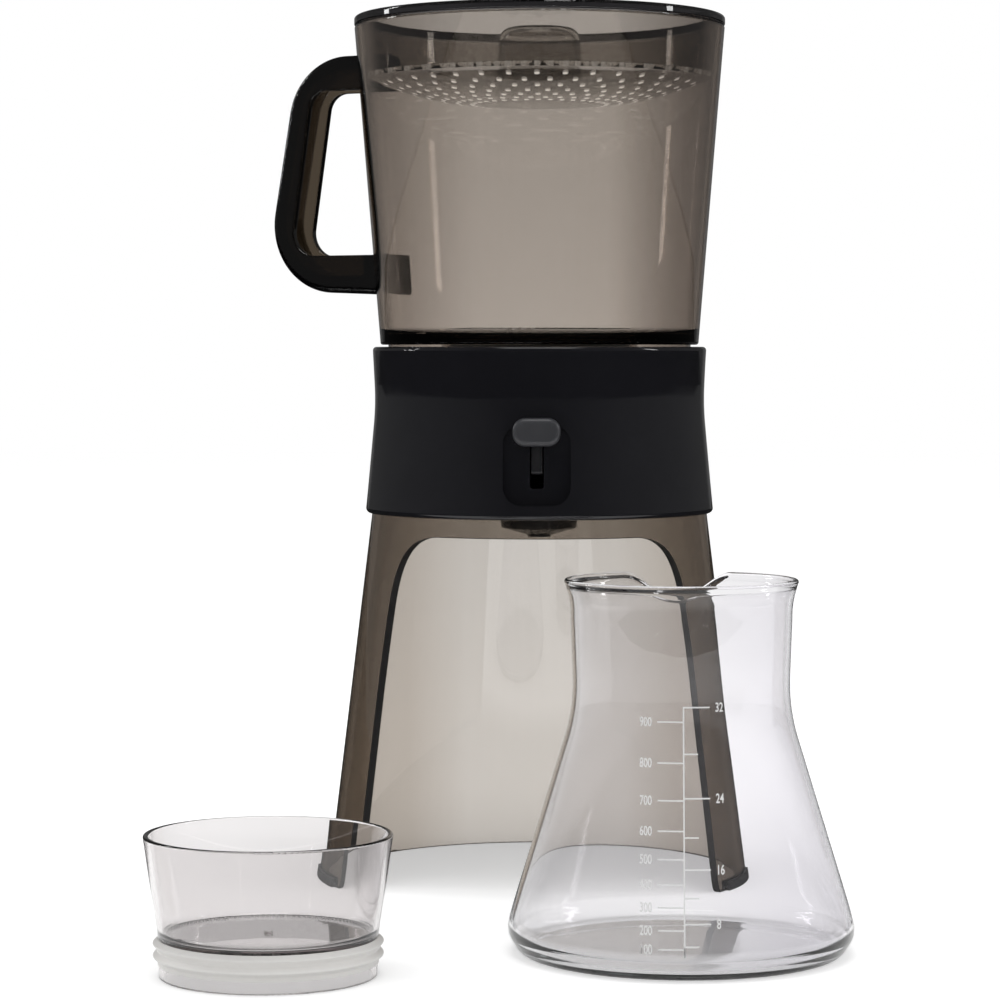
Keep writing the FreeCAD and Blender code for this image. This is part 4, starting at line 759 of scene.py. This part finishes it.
def flask_point(corner, turn):
    """A corner of the flask at a turn: at the back the rim dips and the wall is drawn out."""
    inwards, z, radius = corner
    if radius is None:
        aside = abs(carafe_rim_radius * math.cos(turn)) / LIP_HALF_WIDTH
        dip = LIP_DROP * (1 + math.cos(math.pi * min(1, aside))) / 2 if math.sin(turn) > 0 else 0
        climb = max(0, 1 - (carafe_top - z) / LIP_LENGTH)
        z -= dip * climb
        off_lip = math.remainder(turn - math.pi / 2, math.tau)
        drawn = max(0, 1 - (carafe_top - z) / LIP_LENGTH) ** LIP_CURL
        draw = drawn * math.exp(-(off_lip / LIP_SPREAD) ** 2)
        outer = flask_radius(min(z, carafe_top - RIM_BEAD))
        radius = outer - inwards * GLASS_WALL + LIP_REACH * draw
    return CARAFE_CENTRE + Vector((radius * math.cos(turn), radius * math.sin(turn), z))


flask_solid = mesh_tree(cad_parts["carafe"])
carafe_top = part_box("carafe")[1].z
carafe_rim_radius = flask_radius(carafe_top - RIM_BEAD)
flask = ring_mesh("carafe_blown", flask_point, flask_outline(), FLASK_STEPS)
flask.data.materials.append(carafe_glass)
flask.data.shade_smooth()
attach(flask, "carafe")
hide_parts("carafe")


# ---- Carafe's printed scale -------------------------------------------------------------
# White ceramic enamel fired onto the outside of the glass: a spine with millilitre marks on
# its left and fluid ounce marks on its right. It lies a hair's breadth proud of the glass.
# The tables give each mark's height above the foot in millimetres.

SCALE_TURN = math.radians(-90.3)
SCALE_FOOT = 0.0095
SCALE_HEAD = 0.0986
LINE_WIDTH = 0.00055
LONG_MARK = 0.0098
SHORT_MARK = 0.0054
DIGIT_SIZE = 0.0048
DIGIT_NARROWING = 0.66
DIGIT_BOLDNESS = 0.00008
DIGIT_GAP = 0.0021
DIGIT_MIDDLE = 0.34
BAR_PART = 0.001
SPINE_PART = 0.004
ENAMEL = 0.00005
WELD = 1e-7
WRAP_ROUNDS = 3
MILLILITRES = {900: 92.9, 800: 78.1, 700: 64.7, 600: 53.9, 500: 43.9, 400: 35.0, 300: 27.0,
               200: 19.0, 100: 12.4}
OUNCES = {32: 98.3, 28: 81.3, 24: 65.5, 20: 51.6, 16: 40.3, 12: 30.3, 8: 21.3, 4: 13.4}
NUMBERED_OUNCES = 8

white_enamel = opaque_finish(
    "white_enamel", dark=(0.80, 0.80, 0.80), light=(0.92, 0.92, 0.92), relief=0.3, depth=2e-5,
    follows="Tone", wave_length=0.002, haze_size=0.0012, smooth=0.35, hazy=0.6)


def flat_bar(left, right, low, high):
    """A bar of the print, in metres along the glass and up it, cut so that it can bend."""
    parts = max(1, round((right - left) / BAR_PART), round((high - low) / SPINE_PART))
    across = right - left > high - low
    points = []
    for i in range(parts + 1):
        share = i / parts
        if across:
            x = left + (right - left) * share
            points += [(x, low), (x, high)]
        else:
            z = low + (high - low) * share
            points += [(right, z), (left, z)]
    return points, [(2 * i, 2 * i + 2, 2 * i + 3, 2 * i + 1) for i in range(parts)]


def flat_number(text, x, z, align):
    """Digits as flat faces, narrowed, and centred on a height."""
    curve = bpy.data.curves.new("digits", "FONT")
    curve.body = text
    curve.size = DIGIT_SIZE
    curve.offset = DIGIT_BOLDNESS
    curve.align_x = align
    writing = bpy.data.objects.new("digits", curve)
    bpy.context.scene.collection.objects.link(writing)
    bpy.context.view_layer.update()
    evaluated = writing.evaluated_get(bpy.context.evaluated_depsgraph_get())
    mesh = bpy.data.meshes.new_from_object(evaluated)
    low = z - DIGIT_SIZE * DIGIT_MIDDLE
    points = [(x + v.co.x * DIGIT_NARROWING, low + v.co.y) for v in mesh.vertices]
    faces = [tuple(face.vertices) for face in mesh.polygons]
    bpy.data.objects.remove(writing)
    return points, faces


def wrapped_on_glass(name, parts):
    """Bends flat parts round the flask and lays them on its outer face."""
    glass = mesh_tree(flask)
    mesh = bmesh.new()
    for points, faces in parts:
        laid = []
        for x, z in points:
            level = CARAFE_CENTRE + Vector((0, 0, z))
            radius = CLEAR_OF_WALL
            for _ in range(WRAP_ROUNDS):
                turn = SCALE_TURN + x / radius
                out = Vector((math.cos(turn), math.sin(turn), 0))
                hit = glass.ray_cast(level + out * CLEAR_OF_WALL, -out)
                radius = (hit[0] - level).length
            laid.append(mesh.verts.new(hit[0] + hit[1].normalized() * ENAMEL))
        for face in faces:
            mesh.faces.new([laid[i] for i in face])
    bmesh.ops.remove_doubles(mesh, verts=mesh.verts, dist=WELD)
    return new_piece(name, mesh)


half_line = LINE_WIDTH / 2
print_parts = [flat_bar(-half_line, half_line, SCALE_FOOT, SCALE_HEAD)]
for millilitres, height in MILLILITRES.items():
    z = height / 1000
    print_parts.append(flat_bar(-LONG_MARK, -half_line, z - half_line, z + half_line))
    print_parts.append(flat_number(str(millilitres), -LONG_MARK - DIGIT_GAP, z, "RIGHT"))
for ounces, height in OUNCES.items():
    z = height / 1000
    labelled = ounces % NUMBERED_OUNCES == 0
    reach = LONG_MARK if labelled else SHORT_MARK
    print_parts.append(flat_bar(half_line, reach, z - half_line, z + half_line))
    if labelled:
        print_parts.append(flat_number(str(ounces), LONG_MARK + DIGIT_GAP, z, "LEFT"))
scale_print = wrapped_on_glass("scale_print", print_parts)
scale_print.data.materials.append(white_enamel)
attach(scale_print, "carafe")


# ---- Stopper cup ------------------------------------------------------------------------
# A lightly tinted cup that closes the carafe's neck and measures the grounds. Its finned
# silicone band sits in a groove round the skirt.

finish_node("stopper_cup", clear_moulding(
    "cup_smoke", skin_tint=(0.86, 0.845, 0.845), swallowed=(25, 28, 28), ior=STYRENE_IOR,
    waviness=2e-5, wave_length=0.025, smooth=0.0, hazy=0.03))


# ---- Table ------------------------------------------------------------------------------
# A plain matt white table that runs out of sight. Only its front is bright where the pieces
# mirror it: the far table stays dark in them, and the part under and behind the legs has a painted
# shadow in them.

TABLE_SIZE = 12.0
TABLE_WHITE = (0.82, 0.82, 0.82, 1)
TABLE_UNLIT = (0.02, 0.02, 0.02, 1)
TABLE_GLOW = 0.46
TABLE_LIT_TO = 0.45
TABLE_DARK_FROM = 0.60
LEGS_LIT_TO = -0.10
LEGS_DARK_FROM = -0.05


def table_finish(name):
    """Matt white that glows a little where it is seen. Where it is mirrored it is dark far off, and
    has a painted shadow under and behind the legs.
    """
    material, tree, output = new_material(name)
    skin = add_node(tree, "ShaderNodeBsdfDiffuse", {"Color": TABLE_WHITE})
    bright = add_node(tree, "ShaderNodeEmission", {"Color": (1, 1, 1, 1), "Strength": TABLE_GLOW})
    dark = add_node(tree, "ShaderNodeBsdfDiffuse", {"Color": TABLE_UNLIT})
    seen = add_node(tree, "ShaderNodeLightPath").outputs
    direct = math_node(tree, "MAXIMUM", seen["Is Camera Ray"], seen["Is Transmission Ray"])
    direct = math_node(tree, "MAXIMUM", direct, seen["Is Glossy Ray"])
    glow = add_node(tree, "ShaderNodeMixShader", {0: direct, 2: bright.outputs[0]})
    both = add_node(tree, "ShaderNodeAddShader", {0: skin.outputs[0], 1: glow.outputs[0]})
    spot = add_node(tree, "ShaderNodeTexCoord").outputs["Object"]
    away = add_node(tree, "ShaderNodeVectorMath", {0: spot}, operation="LENGTH")
    far = add_node(tree, "ShaderNodeMapRange", {
        "Value": away.outputs["Value"], "From Min": TABLE_LIT_TO, "From Max": TABLE_DARK_FROM})
    place = add_node(tree, "ShaderNodeSeparateXYZ", {0: spot})
    # Painted shadow: in reflections the table under and behind the legs is dark.
    painted_leg_shadow = add_node(tree, "ShaderNodeMapRange", {
        "Value": place.outputs["Y"], "From Min": LEGS_LIT_TO, "From Max": LEGS_DARK_FROM})
    unlit = math_node(tree, "MAXIMUM", far.outputs[0], painted_leg_shadow.outputs[0])
    reflected = math_node(tree, "SUBTRACT", seen["Is Glossy Ray"], seen["Is Transmission Ray"])
    mirrored = math_node(tree, "MULTIPLY", unlit, reflected)
    top = add_node(tree, "ShaderNodeMixShader",
                   {0: mirrored, 1: both.outputs[0], 2: dark.outputs[0]})
    tree.links.new(top.outputs[0], output.inputs["Surface"])
    return material


half = TABLE_SIZE / 2
table_data = bpy.data.meshes.new("table")
table_data.from_pydata(
    [(-half, -half, 0), (half, -half, 0), (half, half, 0), (-half, half, 0)], [], [(0, 1, 2, 3)])
table_data.materials.append(table_finish("table_white"))
table = bpy.data.objects.new("table", table_data)
bpy.context.scene.collection.objects.link(table)


# ---- Studio -----------------------------------------------------------------------------
# A white wall behind the table and a dim room in front of it. The room itself, one soft box
# overhead and a narrow strip on each side light the pieces.

ROOM_LIGHT = 0.72
FRONT_GLOW = 0.05
SIDE_GLOW = 0.16
SIDES_FROM = 0.35
WALL_SOFT_EDGE = 0.86
WALL_FULL = 0.95
WALL_MIRRORED = 0.14
THROUGH_DARK_TO = 0.55
THROUGH_LIT_FROM = 0.85
THROUGH_DARK = 0.12


def build_studio():
    """A world with one strength each for what is mirrored, what lights matt skins, what is seen
    through the clear pieces, and the bare white that the camera sees."""
    world = bpy.data.worlds.new("studio")
    world.use_nodes = True
    tree = world.node_tree
    tree.nodes.clear()
    way = add_node(tree, "ShaderNodeTexCoord").outputs["Generated"]
    way = add_node(tree, "ShaderNodeSeparateXYZ", {0: way}).outputs
    wall = add_node(tree, "ShaderNodeMapRange",
                    {"Value": way["Y"], "From Min": WALL_SOFT_EDGE, "From Max": WALL_FULL,
                     "To Max": WALL_MIRRORED}, interpolation_type="SMOOTHSTEP")
    sides = add_node(tree, "ShaderNodeMapRange", {
        "Value": math_node(tree, "ABSOLUTE", way["X"]), "From Min": SIDES_FROM, "From Max": 1.0,
        "To Min": FRONT_GLOW, "To Max": SIDE_GLOW})
    beyond = add_node(tree, "ShaderNodeMapRange", {
        "Value": way["Y"], "From Min": THROUGH_DARK_TO, "From Max": THROUGH_LIT_FROM,
        "To Min": THROUGH_DARK, "To Max": 1.0})
    seen = add_node(tree, "ShaderNodeLightPath").outputs
    strength = math_node(tree, "MAXIMUM", wall.outputs[0], sides.outputs[0])
    shown = {"Is Diffuse Ray": ROOM_LIGHT, "Is Transmission Ray": beyond.outputs[0],
             "Is Camera Ray": 1.0}
    for ray, value in shown.items():
        strength = add_node(tree, "ShaderNodeMix", {"Factor": seen[ray], "A": strength, "B": value},
                            data_type="FLOAT").outputs["Result"]
    sky = add_node(tree, "ShaderNodeBackground", {"Color": (1, 1, 1, 1), "Strength": strength})
    add_node(tree, "ShaderNodeOutputWorld", {"Surface": sky.outputs[0]})
    return world


def soft_box(name, place, aim, width, height, watts):
    """A flat lamp at a place, turned towards its aim."""
    data = bpy.data.lights.new(name, "AREA")
    data.shape = "RECTANGLE"
    data.size = width
    data.size_y = height
    data.energy = watts
    lamp = bpy.data.objects.new(name, data)
    lamp.location = place
    lamp.rotation_euler = (Vector(aim) - Vector(place)).to_track_quat("-Z", "Y").to_euler()
    bpy.context.scene.collection.objects.link(lamp)


bpy.context.scene.world = build_studio()
soft_box("overhead_box", place=(0, -0.25, 1.7), aim=(0, -0.05, 0.1), width=0.9, height=0.9, watts=7)
soft_box("left_strip", place=(-1.3, 0.35, 0.75), aim=(0, 0, 0.3), width=0.12, height=0.6, watts=2.2)
soft_box("right_strip", place=(1.3, -0.1, 0.75), aim=(0, 0, 0.3), width=0.12, height=0.6, watts=2.2)


# ---- Camera -----------------------------------------------------------------------------
# A long lens at the height of the container's foot, tilted a little down and turned a little
# left. Light may bounce often enough to cross every wall of the clear pieces.

CAMERA_LENS = 118.475
CAMERA_SHIFT = -0.08
CAMERA_SEES_TO = 50
CAMERA_PLACE = (0.02262, -1.44991, 0.23083)
CAMERA_DOWN = math.radians(1.2115)
CAMERA_LEFT = math.radians(1.5802)
CLEAR_BOUNCES = 24

camera_data = bpy.data.cameras.new("camera")
camera_data.lens = CAMERA_LENS
camera_data.shift_y = CAMERA_SHIFT
camera_data.clip_end = CAMERA_SEES_TO
camera = bpy.data.objects.new("camera", camera_data)
camera.location = CAMERA_PLACE
camera.rotation_euler = (math.radians(90) - CAMERA_DOWN, 0, CAMERA_LEFT)
bpy.context.scene.collection.objects.link(camera)
bpy.context.scene.camera = camera
bpy.context.scene.view_settings.view_transform = "Standard"
bpy.context.scene.cycles.max_bounces = CLEAR_BOUNCES
bpy.context.scene.cycles.transmission_bounces = CLEAR_BOUNCES
